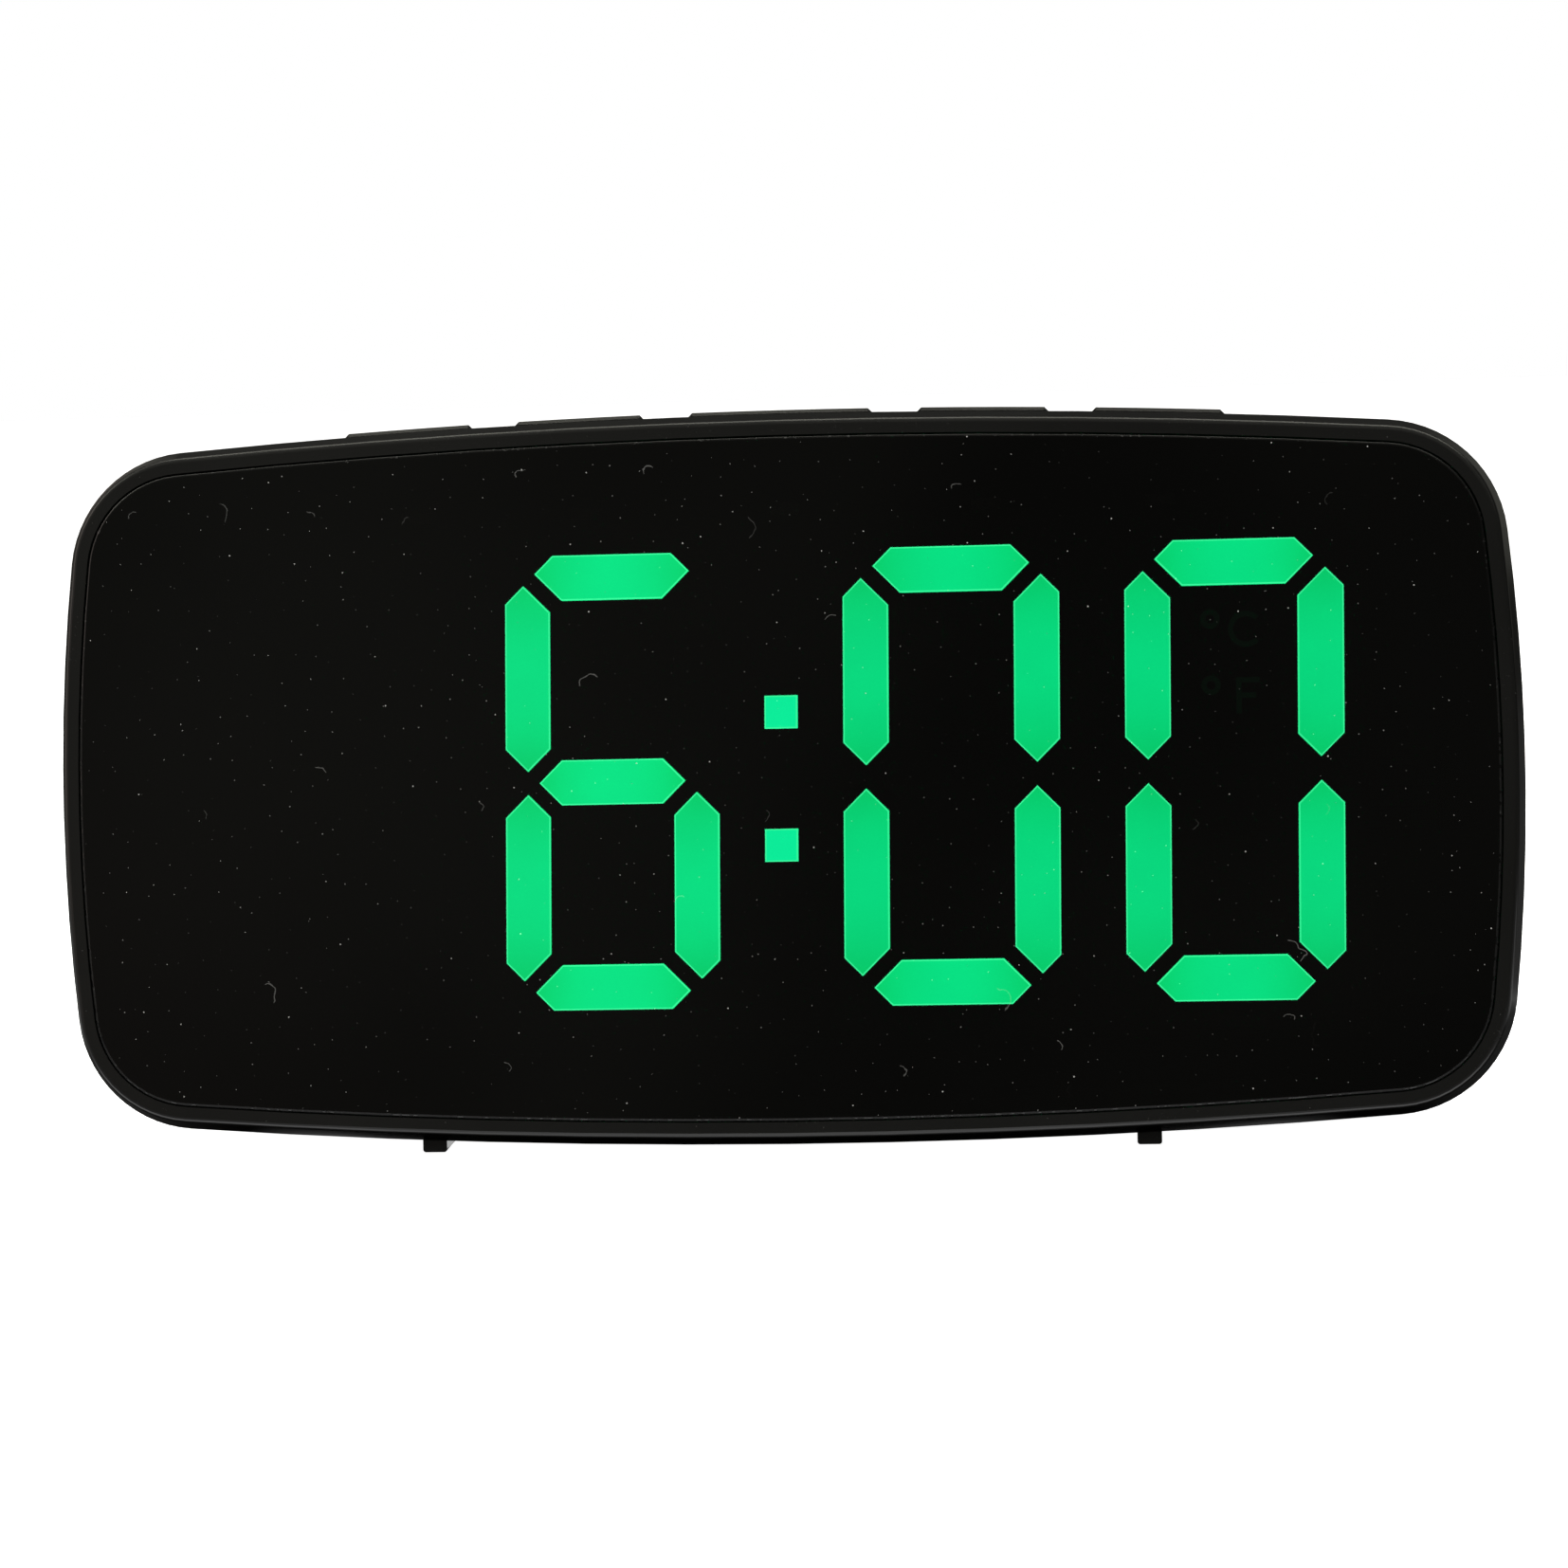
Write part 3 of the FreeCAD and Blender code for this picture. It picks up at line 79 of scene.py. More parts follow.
# Roughly where each bar lies, in half widths and half heights from its digit's middle.
BAR_PLACES = {
    "a": (0, 1),
    "b": (1, 0.5),
    "c": (1, -0.5),
    "d": (0, -1),
    "e": (-1, -0.5),
    "f": (-1, 0.5),
    "g": (0, 0),
}
FLAT_BARS = "adg"
DIGIT_HALF_WIDTH = 11.0 * MM
DIGIT_HALF_HEIGHT = 23.3 * MM

# The width of the bright rim round the front of each bar.
BAR_RIM = 0.13 * MM

# How bright each digit is, and each way that a bar lies.
DIGIT_LIGHT = {"1": 1.0, "2": 1.04, "3": 0.99, "4": 0.98}
FLAT_LIGHT = 1.05
UPRIGHT_LIGHT = 0.97

# The light of a bar's middle, its ends and its rim, and of the colon, as seen through the lens.
GREEN_GLOW = (0.0001, 0.735, 0.222)
GREEN_END_GLOW = (0.0001, 0.62, 0.15)
GREEN_RIM_GLOW = (0.04, 0.95, 0.34)
COLON_GLOW = (0.0005, 0.86, 0.325)

# How much the lens's front holds back, and how much that has to be made up for.
LENS_ALPHA = 0.93
GLOW_STRENGTH = 1 / (1 - LENS_ALPHA)

# How much of a face's normal points forwards, at least: on the lens's flat front, on the round of its
# edge, and on the front of a bar.
LENS_FRONT = 0.999
LENS_ROUND = 0.1
BAR_FRONT = 0.9

# Half of the floor's side.
FLOOR_HALF = 30

# What gloss mirrors of the floor: a strip before the clock, and pools of light behind and beside it.
# Each pair is where a light starts to change and where it's done, but STRIP_LIGHT is how bright the
# strip is before and after its start. The back pool widens with the distance, by BACK_POOL_SPREAD.
STRIP_START = (-40 * MM, -26 * MM)
STRIP_END = (-25 * MM, -22 * MM)
STRIP_LIGHT = (0.15, 1.6)
BACK_POOL_START = (-18 * MM, -15.5 * MM)
BACK_POOL_END = (200 * MM, 350 * MM)
BACK_POOL_SIDE = (45 * MM, 65 * MM)
BACK_POOL_SPREAD = 0.45
SIDE_POOL_DEPTH = (30 * MM, 60 * MM)
SIDE_POOL_START = (100 * MM, 120 * MM)
SIDE_POOL_END = (300 * MM, 400 * MM)
SIDE_POOL_LIGHT = 0.5

# The tent's light by direction. Each pair is two values of one part of the direction, from -1 to 1,
# between which a light changes.
BAND_EDGE = (0.02, 0.26)
BAND_HEIGHT = (0.45, 0.85)
BAND_TILT = 0.2
BAND_LIGHT = 1.6
BAND_GLOSS_GAIN = 10
LEFT_EDGE = (-0.75, -0.45)
LEFT_DEPTH = (0.1, 0.25)
LEFT_LIGHT = 0.9
PATCH_EDGE = (-0.3, -0.02)
PATCH_DEPTH = (-0.98, -0.9)
PATCH_LIGHT = 0.07
FRONT_DEPTH = (-0.3, 0)
FRONT_LIGHT = 0.052
FRONT_CLOUD_SIZE = 1 / 9
FRONT_TOP = (0.25, 0.45)
FRONT_TOP_LIGHT = 0.12
BACK_DEPTH = (0.3, 0.5)
BACK_LOW = (0.2, 0.38)
BACK_LOW_LIGHT = 0.1
BACK_HIGH = (0.72, 0.85)
BACK_HIGH_LIGHT = 0.3
OLIVE_LIGHT = (1.0, 0.99, 0.86)
RUSTY_LIGHT = (1.0, 0.86, 0.78)
RUSTY_EDGE = (-0.05, -0.3)

# Each lamp's place, its width and height, and its power in watts.
LAMPS = {
    "left_softbox": ((-0.6, -0.05, 0.45), (0.4, 0.5), 5),
    "right_softbox": ((0.55, -0.1, 0.6), (0.3, 0.3), 1.5),
    "top_softbox": ((0.0, -0.2, 0.7), (0.8, 0.3), 4),
    "back_softbox": ((0.3, 0.5, 0.5), (0.5, 0.5), 3),
}
LAMP_AIM = (0, 0, 0.04)


# ---------------------------------------------------------------- the face's frame

def face_matrix():
    """From the face's frame to the row frame, by the reflector: an even block behind the face's middle."""
    low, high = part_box("display_reflector")
    lean = Matrix.Rotation(-FACE_LEAN, 4, "X")
    middle = (low + high) / 2 - lean @ Vector((0, REFLECTOR_MIDDLE, 0))
    return Matrix.Translation(middle) @ lean


TO_ROW = face_matrix()
TO_FACE = TO_ROW.inverted()


# ---------------------------------------------------------------- material helpers

class Nodes:
    """Short ways to build a node tree."""

    def __init__(self, tree, coordinates):
        self.tree = tree
        self.place = self.node("ShaderNodeTexCoord").outputs[coordinates]

    def node(self, kind, **settings):
        made = self.tree.nodes.new(kind)
        for key, value in settings.items():
            setattr(made, key, value)
        return made

    def link(self, source, target):
        self.tree.links.new(source, target)

    def parts(self, place):
        """A place's or a direction's parts along X, Y and Z."""
        made = self.node("ShaderNodeSeparateXYZ")
        self.link(place, made.inputs[0])
        return made.outputs

    def noise(self, size, detail, place=None):
        """Noise with features of about that size."""
        made = self.node("ShaderNodeTexNoise")
        made.inputs["Scale"].default_value = 1 / size
        made.inputs["Detail"].default_value = detail
        self.link(place or self.place, made.inputs["Vector"])
        return made.outputs["Fac"]

    def ramp(self, source, start, end, low=0.0, high=1.0):
        """source from start to end becomes low to high, held outside."""
        made = self.node("ShaderNodeMapRange", interpolation_type="SMOOTHSTEP")
        made.inputs["From Min"].default_value = start
        made.inputs["From Max"].default_value = end
        made.inputs["To Min"].default_value = low
        made.inputs["To Max"].default_value = high
        self.link(source, made.inputs["Value"])
        return made.outputs["Result"]

    def maths(self, operation, first, second):
        """One operation on two values. Each is a number or a socket."""
        made = self.node("ShaderNodeMath", operation=operation)
        for value, socket in ((first, made.inputs[0]), (second, made.inputs[1])):
            if isinstance(value, (int, float)):
                socket.default_value = value
            else:
                self.link(value, socket)
        return made.outputs[0]

    def product(self, first, *others):
        for other in others:
            first = self.maths("MULTIPLY", first, other)
        return first

    def total(self, first, *others):
        for other in others:
            first = self.maths("ADD", first, other)
        return first

    def magnitude(self, value):
        """A value without its sign."""
        return self.maths("ABSOLUTE", value, 0)

    def blend(self, factor, first, second):
        """One colour to another by a factor. Each is three numbers or a socket."""
        made = self.node("ShaderNodeMix", data_type="RGBA")
        self.link(factor, made.inputs["Factor"])
        for value, socket in ((first, made.inputs["A"]), (second, made.inputs["B"])):
            if isinstance(value, tuple):
                socket.default_value = (*value, 1)
            else:
                self.link(value, socket)
        return made.outputs["Result"]


class Finish(Nodes):
    """A node material with one Principled shader."""

    def __init__(self, name, colour, roughness, metallic=0.0, specular=0.5):
        self.material = bpy.data.materials.new(name)
        self.material.use_nodes = True
        super().__init__(self.material.node_tree, "Object")
        self.shader = self.tree.nodes["Principled BSDF"]
        self.shader.inputs["Base Color"].default_value = (*colour, 1)
        self.shader.inputs["Roughness"].default_value = roughness
        self.shader.inputs["Metallic"].default_value = metallic
        self.shader.inputs["Specular IOR Level"].default_value = specular

    def stretched(self, scale):
        """The place, stretched along the axes, for brushing."""
        mapping = self.node("ShaderNodeMapping")
        mapping.inputs["Scale"].default_value = scale
        self.link(self.place, mapping.inputs["Vector"])
        return mapping.outputs["Vector"]

    def flat_place(self):
        """The place on an upright sheet: across, and up."""
        across, _, up = self.parts(self.place)
        together = self.node("ShaderNodeCombineXYZ")
        self.link(across, together.inputs["X"])
        self.link(up, together.inputs["Y"])
        return together.outputs[0]

    def scattered(self, spacing, place):
        """How far the nearest of some scattered points on a sheet is, a colour of its own, and how
        far off it is along a heading of its own."""
        made = self.node("ShaderNodeTexVoronoi", voronoi_dimensions="2D")
        made.inputs["Scale"].default_value = 1 / spacing
        self.link(place, made.inputs["Vector"])
        heading = self.node("ShaderNodeVectorMath", operation="MULTIPLY_ADD")
        heading.inputs[1].default_value = (1, 1, 0)
        heading.inputs[2].default_value = (-0.5, -0.5, 0)
        self.link(made.outputs["Color"], heading.inputs[0])
        offset = self.node("ShaderNodeVectorMath", operation="SUBTRACT")
        self.link(place, offset.inputs[0])
        self.link(made.outputs["Position"], offset.inputs[1])
        along = self.node("ShaderNodeVectorMath", operation="DOT_PRODUCT")
        self.link(offset.outputs["Vector"], along.inputs[0])
        self.link(heading.outputs["Vector"], along.inputs[1])
        reach = self.product(made.outputs["Distance"], spacing)
        return reach, made.outputs["Color"], along.outputs["Value"]

    def pushed(self, place, reach, size):
        """A place, pushed about by a noise, so that even shapes in it bend."""
        wander = self.node("ShaderNodeTexNoise")
        wander.inputs["Scale"].default_value = 1 / size
        self.link(place, wander.inputs["Vector"])
        push = self.node("ShaderNodeVectorMath", operation="MULTIPLY_ADD")
        push.inputs[1].default_value = (reach, reach, reach)
        self.link(wander.outputs["Color"], push.inputs[0])
        self.link(place, push.inputs[2])
        return push.outputs[0]

    def feed(self, socket, source):
        self.link(source, self.shader.inputs[socket])

    def bump(self, height, depth, strength):
        made = self.node("ShaderNodeBump")
        made.inputs["Strength"].default_value = strength
        made.inputs["Distance"].default_value = depth
        self.link(height, made.inputs["Height"])
        self.feed("Normal", made.outputs["Normal"])


# ---------------------------------------------------------------- materials

def moulded_black(name, grain, roughness, colour=(0.0085, 0.0085, 0.008), depth=0.02 * MM):
    """Spark-textured black plastic, with handling marks and a little settled dust."""
    finish = Finish(name, colour, roughness)
    smears = finish.noise(22 * MM, 3)
    finish.feed("Roughness", finish.ramp(smears, 0.3, 0.7, roughness * 0.93, roughness * 1.08))
    film = finish.product(finish.ramp(finish.noise(0.35 * MM, 2), 0.66, 0.8),
                          finish.ramp(finish.noise(14 * MM, 2), 0.5, 0.75))
    dusty = finish.maths("MAXIMUM", film, specks(finish, finish.flat_place(), 4.5 * MM, 0.06 * MM))
    darker = tuple(part * 0.9 for part in colour)
    lighter = tuple(part * 1.12 for part in colour)
    tone = finish.blend(finish.ramp(smears, 0.25, 0.75), darker, lighter)
    finish.feed("Base Color", finish.blend(dusty, tone, (0.08, 0.08, 0.076)))
    finish.bump(finish.noise(grain, 3), depth, 0.35)
    return finish.material


def specks(finish, place, spacing, radius):
    """Round specks of dust. Each one's own colour gives its size."""
    reach, own, _ = finish.scattered(spacing, place)
    size = finish.ramp(own, 0.1, 0.9, radius * 0.3, radius)
    return finish.ramp(finish.maths("DIVIDE", reach, size), 0.7, 1.1, 1, 0)


def hairs(finish, place, spacing, radius, thickness):
    """Short curled hairs: about a third of a bent ring round each scattered point."""
    reach, own, along = finish.scattered(spacing, finish.pushed(place, 1.3 * radius, 1.5 * radius))
    off = finish.magnitude(finish.maths("SUBTRACT", reach, radius))
    ring = finish.ramp(off, thickness * 0.3, thickness * 0.7, 1, 0)
    stretch = finish.ramp(along, 0.15 * radius, 0.2 * radius)
    strength = finish.ramp(own, 0.4, 0.8, 0, 0.22)
    return finish.product(ring, stretch, strength)


def lens_sheet():
    """Smoked, see-through acrylic with specks of dust and short curled hairs on it."""
    finish = Finish("smoked_lens", (0.002, 0.002, 0.002), 0.03)
    flat = finish.flat_place()
    patchy = finish.ramp(finish.noise(11 * MM, 2), 0.4, 0.6, 0.08, 0.6)
    dirt = finish.product(specks(finish, flat, 2.6 * MM, 0.065 * MM), patchy)
    for layer in (specks(finish, flat, 8 * MM, 0.085 * MM),
                  hairs(finish, flat, 14 * MM, 0.6 * MM, 0.09 * MM),
                  hairs(finish, flat, 26 * MM, 1.2 * MM, 0.1 * MM)):
        dirt = finish.maths("MAXIMUM", dirt, layer)
    finish.feed("Base Color", finish.blend(dirt, (0.002, 0.002, 0.0019), (0.7, 0.7, 0.67)))
    finish.feed("Roughness", finish.ramp(finish.noise(16 * MM, 5), 0.35, 0.75, 0.025, 0.09))
    finish.shader.inputs["Alpha"].default_value = LENS_ALPHA
    return finish.material


def lens_back():
    """The clear back and sides of the lens. The smoke tint and the gloss are on its front."""
    finish = Finish("clear_acrylic", (0.01, 0.01, 0.01), 0.1)
    finish.feed("Roughness", finish.ramp(finish.noise(5 * MM, 2), 0.3, 0.7, 0.08, 0.14))
    finish.shader.inputs["Alpha"].default_value = 0.03
    return finish.material


def lens_edge():
    """The round of the lens's edge: polished along the top, and worn matt in stretches below. Lighter
    specks along it are partly chips and partly painted glints that break its bright line into dots.
    """
    finish = Finish("lens_edge", (0.005, 0.005, 0.005), 0.1)
    _, _, up = finish.parts(finish.place)
    shiny = finish.maths("MAXIMUM", finish.ramp(finish.noise(0.7 * MM, 2), 0.54, 0.6),
                         finish.ramp(up, 40 * MM, 60 * MM))
    # Lighter specks: partly chips in the edge, partly painted glints for the dots in its bright line.
    chip_and_glint_specks = finish.ramp(finish.noise(0.45 * MM, 3), 0.62, 0.7)
    finish.feed("Base Color", finish.blend(chip_and_glint_specks, (0.004, 0.004, 0.004), (0.04, 0.04, 0.038)))
    finish.feed("Roughness", finish.ramp(shiny, 0, 1, 0.7, 0.11))
    return finish.material


def glowing(name, colour, end_colour):
    """A light-diffusing insert. Its light falls off towards the ends of each bar."""
    finish = Finish(name, (0.02, 0.2, 0.09), 0.45)
    along = finish.node("ShaderNodeAttribute", attribute_name="along").outputs["Fac"]
    level = finish.node("ShaderNodeAttribute", attribute_name="level").outputs["Fac"]
    tone = finish.blend(finish.product(along, along), colour, end_colour)
    cloud = finish.ramp(finish.noise(5 * MM, 1), 0.3, 0.7, 0.985, 1.015)
    light = finish.node("ShaderNodeVectorMath", operation="SCALE")
    finish.link(tone, light.inputs[0])
    finish.link(finish.product(level, cloud), light.inputs["Scale"])
    finish.feed("Emission Color", light.outputs[0])
    finish.shader.inputs["Emission Strength"].default_value = GLOW_STRENGTH
    return finish.material


def unlit_insert():
    """A diffusing insert with no light behind it."""
    finish = Finish("unlit_insert", (0.02, 0.022, 0.021), 0.5)
    cloud = finish.noise(1.2 * MM, 3)
    finish.feed("Base Color", finish.blend(cloud, (0.014, 0.016, 0.015), (0.028, 0.031, 0.029)))
    finish.bump(finish.noise(0.25 * MM, 2), 0.01 * MM, 0.3)
    return finish.material


def faint_mark():
    """The unit marks, with a faint painted green glow for the trace of the digits' light that they pick
    up.
    """
    finish = Finish("faint_mark", (0.02, 0.03, 0.024), 0.5)
    finish.feed("Base Color", finish.blend(finish.noise(0.8 * MM, 2), (0.015, 0.024, 0.019),
                                           (0.03, 0.04, 0.033)))
    # Painted glow: a faint green emission stands in for the digits' light falling on the marks.
    finish.shader.inputs["Emission Color"].default_value = (0.0, 0.002, 0.0007, 1)
    finish.shader.inputs["Emission Strength"].default_value = GLOW_STRENGTH
    return finish.material


def circuit_board():
    """Green solder mask over copper tracks, with a slightly uneven surface."""
    finish = Finish("circuit_board", (0.01, 0.09, 0.035), 0.3)
    tracks = finish.node("ShaderNodeTexBrick", offset=0.37, squash=1.6)
    tracks.inputs["Scale"].default_value = 120
    tracks.inputs["Mortar Size"].default_value = 0.035
    tracks.inputs["Color1"].default_value = (0.009, 0.075, 0.03, 1)
    tracks.inputs["Color2"].default_value = (0.011, 0.09, 0.037, 1)
    tracks.inputs["Mortar"].default_value = (0.03, 0.19, 0.07, 1)
    turned = finish.node("ShaderNodeMapping")
    turned.inputs["Rotation"].default_value = (math.radians(90), 0, 0)
    finish.link(finish.place, turned.inputs["Vector"])
    finish.link(turned.outputs["Vector"], tracks.inputs["Vector"])
    finish.feed("Base Color", tracks.outputs["Color"])
    finish.feed("Roughness", finish.ramp(finish.noise(3 * MM, 3), 0.3, 0.7, 0.22, 0.4))
    finish.bump(finish.noise(0.4 * MM, 2), 0.01 * MM, 0.3)
    return finish.material


def mottled(name, first, second, roughness, grain, metallic=0.0):
    """A plain finish with slight mottling in colour and gloss, and a fine grain."""
    finish = Finish(name, first, roughness, metallic)
    patches = finish.noise(grain * 6, 3)
    finish.feed("Base Color", finish.blend(finish.ramp(patches, 0.3, 0.7), first, second))
    gloss = finish.noise(grain * 3, 3)
    finish.feed("Roughness", finish.ramp(gloss, 0.3, 0.7, roughness * 0.8, roughness * 1.25))
    finish.bump(finish.noise(grain, 2), 0.01 * MM, 0.3)
    return finish.material


def brushed(name, first, second, roughness):
    """Sheet metal with brushing along X."""
    finish = Finish(name, first, roughness, 1.0)
    streaks = finish.noise(1.0, 4, finish.stretched(BRUSHING))
    finish.feed("Base Color", finish.blend(streaks, first, second))
    finish.feed("Roughness", finish.ramp(streaks, 0.3, 0.7, roughness * 0.7, roughness * 1.4))
    finish.bump(streaks, 0.01 * MM, 0.25)
    return finish.material


def cell_jacket(node):
    """A dry cell's printed jacket: a dark body with a copper-coloured band at its plus end."""
    finish = Finish("jacket_of_" + node, (0.02, 0.022, 0.026), 0.28)
    low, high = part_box(node)
    middle = (low.x + high.x) / 2
    across, _, _ = finish.parts(finish.place)
    band = finish.ramp(across, *(middle + edge for edge in CELL_BAND))
    speck = finish.noise(0.5 * MM, 3)
    dark = finish.blend(speck, (0.016, 0.018, 0.022), (0.024, 0.027, 0.032))
    copper = finish.blend(speck, (0.42, 0.17, 0.06), (0.5, 0.22, 0.09))
    finish.feed("Base Color", finish.blend(band, dark, copper))
    finish.feed("Metallic", finish.ramp(band, 0, 1, 0.1, 0.8))
    finish.feed("Roughness", finish.ramp(finish.noise(6 * MM, 2), 0.3, 0.7, 0.3, 0.34))
    return finish.material


# ---------------------------------------------------------------- putting materials on the frame's nodes

def dress(node, *materials, choose=None):
    """Gives a CAD node its materials. choose gives each face the number of one of them."""
    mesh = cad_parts[node].data
    mesh.materials.clear()
    for material in materials:
        mesh.materials.append(material)
    if choose:
        for face in mesh.polygons:
            face.material_index = choose(face)


def lens_side(face):
    """0 for the lens's front, 1 for its rounded edge, and 2 for the sides and the back."""
    forwards = -(TO_FACE.to_3x3() @ face.normal).y
    if forwards > LENS_FRONT:
        return 0
    return 1 if forwards > LENS_ROUND else 2


def is_runner(face):
    """1 for the two runners that the clock stands on, and 0 for the rest of the housing."""
    return int(face.center.z < RUNNER_TOP)


def is_cell_end(face):
    """1 for a cell's bare metal ends, and 0 for its jacket."""
    return int(abs(face.normal.x) > 0.5)


# ---------------------------------------------------------------- the display's inserts

def islands(mesh):
    """The separate solids of a bmesh, as lists of vertices."""
    waiting = set(mesh.verts)
    while waiting:
        found = [waiting.pop()]
        for vertex in found:
            for edge in vertex.link_edges:
                other = edge.other_vert(vertex)
                if other in waiting:
                    waiting.remove(other)
                    found.append(other)
        yield found


def extent(vertices):
    """Lowest and highest corners of some vertices."""
    low = Vector([min(v.co[axis] for v in vertices) for axis in range(3)])
    high = Vector([max(v.co[axis] for v in vertices) for axis in range(3)])
    return low, high


def bar_letter(middle):
    """Which segment of a digit lies there, from its place measured from the digit's middle."""
    across = middle.x / DIGIT_HALF_WIDTH
    up = middle.z / DIGIT_HALF_HEIGHT
    return min(BAR_PLACES, key=lambda bar: math.dist(BAR_PLACES[bar], (across, up)))


def bar_light(bar):
    return FLAT_LIGHT if bar in FLAT_BARS else UPRIGHT_LIGHT


def solid_in_face_frame(node):
    """A bmesh of a CAD node, turned into the face's frame, with its flat faces made whole."""
    mesh = bmesh.new()
    mesh.from_mesh(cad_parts[node].data)
    bmesh.ops.transform(mesh, matrix=TO_FACE, verts=mesh.verts)
    bmesh.ops.remove_doubles(mesh, verts=mesh.verts, dist=0.001 * MM)
    bmesh.ops.dissolve_limit(mesh, angle_limit=math.radians(2), verts=mesh.verts, edges=mesh.edges)
    return mesh


def keep_bars(mesh, name_of, kept, light_of):
    """Drops the bars that aren't kept. On the points of the others it writes how far along the bar
    they are, from -1 to 1, and how bright the bar is."""
    middle = sum(extent(mesh.verts), Vector()) / 2
    along = mesh.verts.layers.float.new("along")
    level = mesh.verts.layers.float.new("level")
    dropped = []
    for solid in list(islands(mesh)):
        low, high = extent(solid)
        bar = name_of((low + high) / 2 - middle)
        if bar not in kept:
            dropped.extend(solid)
            continue
        axis = 0 if high.x - low.x > high.z - low.z else 2
        for vertex in solid:
            vertex[along] = (2 * vertex.co[axis] - low[axis] - high[axis]) / (high[axis] - low[axis])
            vertex[level] = light_of(bar)
    bmesh.ops.delete(mesh, geom=dropped, context="VERTS")


def rim_fronts(mesh):
    """Gives the front of each bar a narrow rim of the second material."""
    fronts = [face for face in mesh.faces if -face.normal.y > BAR_FRONT]
    rims = bmesh.ops.inset_individual(mesh, faces=fronts, thickness=BAR_RIM, use_even_offset=True)
    for face in rims["faces"]:
        face.material_index = 1


def mesh_object(name, mesh):
    """Puts a bmesh into the scene as an object, and frees it."""
    data = bpy.data.meshes.new(name)
    mesh.to_mesh(data)
    mesh.free()
    made = bpy.data.objects.new(name, data)
    bpy.context.scene.collection.objects.link(made)
    return made


def add_insert_piece(name, node, kept, materials, light_of, name_of=bar_letter):
    """One piece from the kept bars of a node, or None where it has none of them."""
    mesh = solid_in_face_frame(node)
    keep_bars(mesh, name_of, kept, light_of)
    if not mesh.verts:
        mesh.free()
        return None
    rim_fronts(mesh)
    bmesh.ops.transform(mesh, matrix=TO_ROW, verts=mesh.verts)
    piece = mesh_object(name, mesh)
    for material in materials:
        piece.data.materials.append(material)
    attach(piece, "case")
    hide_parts(node)
    return piece


def add_display():
    """The digits' and the colon's inserts, lit and unlit."""
    edge = glowing("lit_rim", GREEN_RIM_GLOW, GREEN_RIM_GLOW)
    lit = (glowing("lit_segment", GREEN_GLOW, GREEN_END_GLOW), edge)
    colon = (glowing("lit_colon", COLON_GLOW, COLON_GLOW), edge)
    dark = unlit_insert()
    for node, letters in LIT_BARS.items():
        number = node.split("_")[1]
        unlit = "".join(bar for bar in BAR_PLACES if bar not in letters)
        glow = add_insert_piece("lit_bars_" + number, node, letters, lit,
                                lambda bar: DIGIT_LIGHT[number] * bar_light(bar))
        plain = add_insert_piece("unlit_bars_" + number, node, unlit, (dark, dark), lambda bar: 0)
    dots = add_insert_piece("lit_colon_dots", "colon_dots", ["dot"], colon,
                            lambda bar: 1, lambda middle: "dot")
    dress("unit_marks", faint_mark())


# ---------------------------------------------------------------- the studio

def add_floor():
    """A wide pale floor that melts into the backdrop. Gloss sees it dark, but for a narrow strip
    before the clock and broad pools of light under it, behind it and beside it."""
    mesh = bmesh.new()
    bmesh.ops.create_grid(mesh, x_segments=1, y_segments=1, size=FLOOR_HALF)
    floor = mesh_object("floor", mesh)
    finish = Finish("pale_floor", (0.8, 0.8, 0.8), 0.9, specular=0.0)
    across, depth, _ = finish.parts(finish.place)
    aside = finish.magnitude(across)
    strip = finish.product(finish.ramp(depth, *STRIP_START, *STRIP_LIGHT),
                           finish.ramp(depth, *STRIP_END, 1, 0))
    spread = finish.maths("SUBTRACT", aside, finish.product(depth, BACK_POOL_SPREAD))
    behind = finish.product(finish.ramp(depth, *BACK_POOL_START),
                            finish.ramp(depth, *BACK_POOL_END, 1, 0),
                            finish.ramp(spread, *BACK_POOL_SIDE, 1, 0))
    beside = finish.product(finish.ramp(finish.magnitude(depth), *SIDE_POOL_DEPTH, SIDE_POOL_LIGHT, 0),
                            finish.ramp(aside, *SIDE_POOL_START),
                            finish.ramp(aside, *SIDE_POOL_END, 1, 0))
    paths = finish.node("ShaderNodeLightPath").outputs
    seen = paths["Is Camera Ray"]
    mirrored = finish.product(paths["Is Glossy Ray"], finish.total(strip, behind, beside))
    finish.shader.inputs["Emission Color"].default_value = (1, 1, 1, 1)
    finish.feed("Emission Strength", finish.total(seen, mirrored))
    cloud = finish.blend(finish.noise(0.4, 2), (0.79, 0.79, 0.79), (0.82, 0.82, 0.82))
    finish.feed("Base Color", finish.blend(seen, (0.03, 0.03, 0.03), cloud))
    floor.data.materials.append(finish.material)


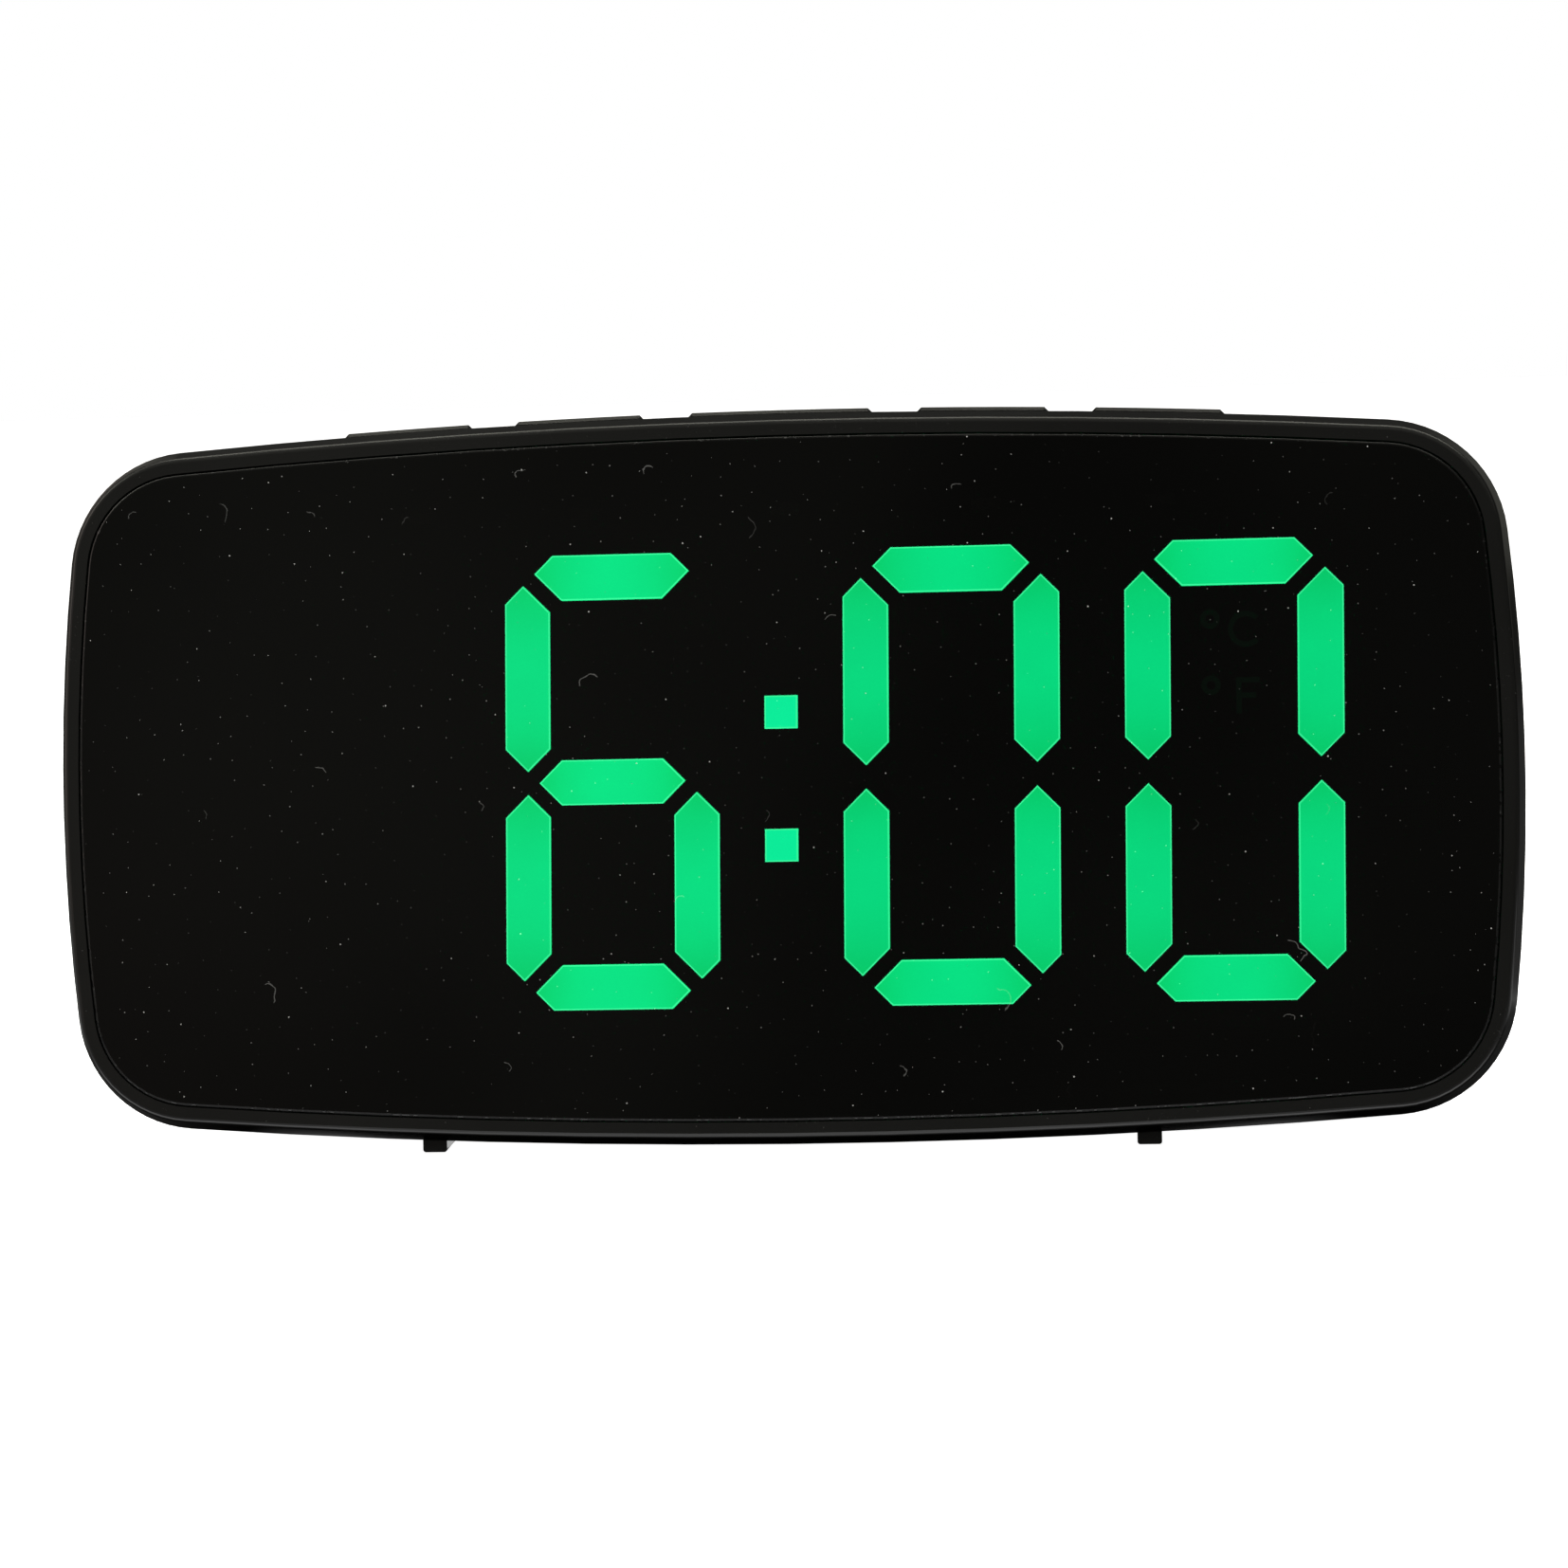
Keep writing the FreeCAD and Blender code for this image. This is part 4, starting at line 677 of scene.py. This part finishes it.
def add_world():
    """A tent with a narrow band of light over the clock, and a glow on its left. Before the clock
    it's dim and a little uneven, with a faint patch left of straight ahead. Behind the clock it's
    lit low down and high up, with a dark belt between. The camera sees a white backdrop instead."""
    world = bpy.data.worlds.new("tent")
    world.use_nodes = True
    world.node_tree.nodes.clear()
    sky = Nodes(world.node_tree, "Generated")
    across, deep, up = sky.parts(sky.place)
    paths = sky.node("ShaderNodeLightPath").outputs

    tilted = sky.maths("SUBTRACT", up, sky.product(across, BAND_TILT))
    band = sky.product(sky.ramp(sky.magnitude(deep), *BAND_EDGE, 1, 0),
                       sky.ramp(paths["Is Glossy Ray"], 0, 1, 1, BAND_GLOSS_GAIN),
                       sky.ramp(tilted, *BAND_HEIGHT, 0, BAND_LIGHT))
    left = sky.product(sky.ramp(across, *LEFT_EDGE, LEFT_LIGHT, 0),
                       sky.ramp(deep, *LEFT_DEPTH, 1, 0))
    patch = sky.product(sky.ramp(across, *PATCH_EDGE, PATCH_LIGHT, 0),
                        sky.ramp(deep, *PATCH_DEPTH, 1, 0))
    uneven = sky.ramp(sky.noise(FRONT_CLOUD_SIZE, 1), 0.3, 0.7, 0.7 * FRONT_LIGHT, 1.3 * FRONT_LIGHT)
    front = sky.product(sky.total(uneven, sky.ramp(up, *FRONT_TOP, 0, FRONT_TOP_LIGHT)),
                        sky.ramp(deep, *FRONT_DEPTH, 1, 0))
    back = sky.product(sky.total(sky.ramp(up, *BACK_LOW, BACK_LOW_LIGHT, 0),
                                 sky.ramp(up, *BACK_HIGH, 0, BACK_HIGH_LIGHT)),
                       sky.ramp(deep, *BACK_DEPTH, 0, 1))

    tent = sky.node("ShaderNodeBackground")
    rusty = sky.ramp(sky.total(across, up), *RUSTY_EDGE)
    sky.link(sky.blend(rusty, OLIVE_LIGHT, RUSTY_LIGHT), tent.inputs["Color"])
    sky.link(sky.total(band, left, patch, front, back), tent.inputs["Strength"])
    backdrop = sky.node("ShaderNodeBackground")
    backdrop.inputs["Color"].default_value = (1, 1, 1, 1)
    mix = sky.node("ShaderNodeMixShader")
    sky.link(paths["Is Camera Ray"], mix.inputs["Fac"])
    sky.link(tent.outputs[0], mix.inputs[1])
    sky.link(backdrop.outputs[0], mix.inputs[2])
    sky.link(mix.outputs[0], sky.node("ShaderNodeOutputWorld").inputs["Surface"])
    bpy.context.scene.world = world


def add_lamps():
    """Soft lamps that look at the clock. Gloss mirrors the tent, and not the lamps."""
    for name, (place, size, power) in LAMPS.items():
        lamp = bpy.data.lights.new(name, "AREA")
        lamp.shape = "RECTANGLE"
        lamp.size, lamp.size_y = size
        lamp.energy = power
        holder = bpy.data.objects.new(name, lamp)
        holder.location = place
        towards = Vector(LAMP_AIM) - Vector(place)
        holder.rotation_euler = towards.to_track_quat("-Z", "Y").to_euler()
        holder.visible_glossy = False
        bpy.context.scene.collection.objects.link(holder)


def add_camera():
    camera = bpy.data.cameras.new("camera")
    camera.lens = CAMERA_LENS
    camera.sensor_width = CAMERA_SENSOR
    camera.clip_start = 10 * MM
    holder = bpy.data.objects.new("camera", camera)
    place = TO_ROW @ Vector(CAMERA_PLACE)
    aim = TO_ROW @ Vector(CAMERA_AIM)
    level = (aim - place).to_track_quat("-Z", "Y").to_matrix().to_4x4()
    holder.matrix_world = Matrix.Translation(place) @ level @ Matrix.Rotation(-CAMERA_ROLL, 4, "Z")
    bpy.context.scene.collection.objects.link(holder)
    bpy.context.scene.camera = holder


# ---------------------------------------------------------------- the clock

def dress_case():
    shell = moulded_black("case_plastic", 0.28 * MM, 0.3)
    satin = moulded_black("bezel_plastic", 0.2 * MM, 0.14, (0.0115, 0.0115, 0.0108), 0.004 * MM)
    caps = moulded_black("key_plastic", 0.22 * MM, 0.24, (0.007, 0.007, 0.0066), 0.01 * MM)
    runner = moulded_black("runner_plastic", 0.4 * MM, 0.12, depth=0.001 * MM)
    dress("rear_housing", shell, runner, choose=is_runner)
    dress("battery_door", shell)
    dress("front_bezel", satin)
    for key in ("key_set", "key_down", "key_snooze", "key_up", "key_alarm"):
        dress(key, caps)
    dress("mirror_lens", lens_sheet(), lens_edge(), lens_back(), choose=lens_side)


def dress_inside():
    nickel = brushed("nickel_plate", (0.6, 0.59, 0.56), (0.72, 0.71, 0.68), 0.28)
    zinc = mottled("black_zinc", (0.12, 0.12, 0.125), (0.22, 0.22, 0.22), 0.35, 0.3 * MM, 1.0)
    epoxy = mottled("chip_epoxy", (0.012, 0.012, 0.013), (0.022, 0.022, 0.023), 0.5, 0.1 * MM)
    nylon = mottled("white_nylon", (0.72, 0.71, 0.66), (0.8, 0.79, 0.75), 0.45, 0.3 * MM)
    emitter = mottled("emitter_resin", (0.8, 0.8, 0.66), (0.86, 0.86, 0.8), 0.2, 0.3 * MM)
    matt = mottled("reflector_plastic", (0.006, 0.006, 0.006), (0.009, 0.009, 0.009), 0.6, 0.3 * MM)
    red = mottled("red_sleeve", (0.42, 0.012, 0.01), (0.5, 0.02, 0.015), 0.4, 0.3 * MM)
    black = mottled("black_sleeve", (0.012, 0.012, 0.012), (0.022, 0.022, 0.022), 0.4, 0.3 * MM)
    board = circuit_board()
    finishes = {
        matt: ["display_reflector"],
        board: ["display_board", "power_board"],
        emitter: ["segment_leds"],
        epoxy: ["controller_chip", "alarm_sounder", "tact_switches", "temperature_sensor"],
        nylon: ["board_connector", "key_set_plunger", "key_down_plunger", "key_snooze_plunger",
                "key_up_plunger", "key_alarm_plunger"],
        nickel: ["clock_crystal", "smoothing_capacitor", "battery_contacts", "battery_springs",
                 "usb_socket"],
        zinc: ["case_screws", "board_screws", "power_board_screws"],
        red: ["battery_lead_red", "supply_lead_red"],
        black: ["battery_lead_black", "supply_lead_black"],
    }
    for finish, nodes in finishes.items():
        for node in nodes:
            dress(node, finish)
    for node in ("aaa_cell_1", "aaa_cell_2", "aaa_cell_3"):
        dress(node, cell_jacket(node), nickel, choose=is_cell_end)


dress_case()
dress_inside()
add_display()
add_floor()
add_world()
add_lamps()
add_camera()
bpy.context.scene.view_settings.view_transform = "Standard"
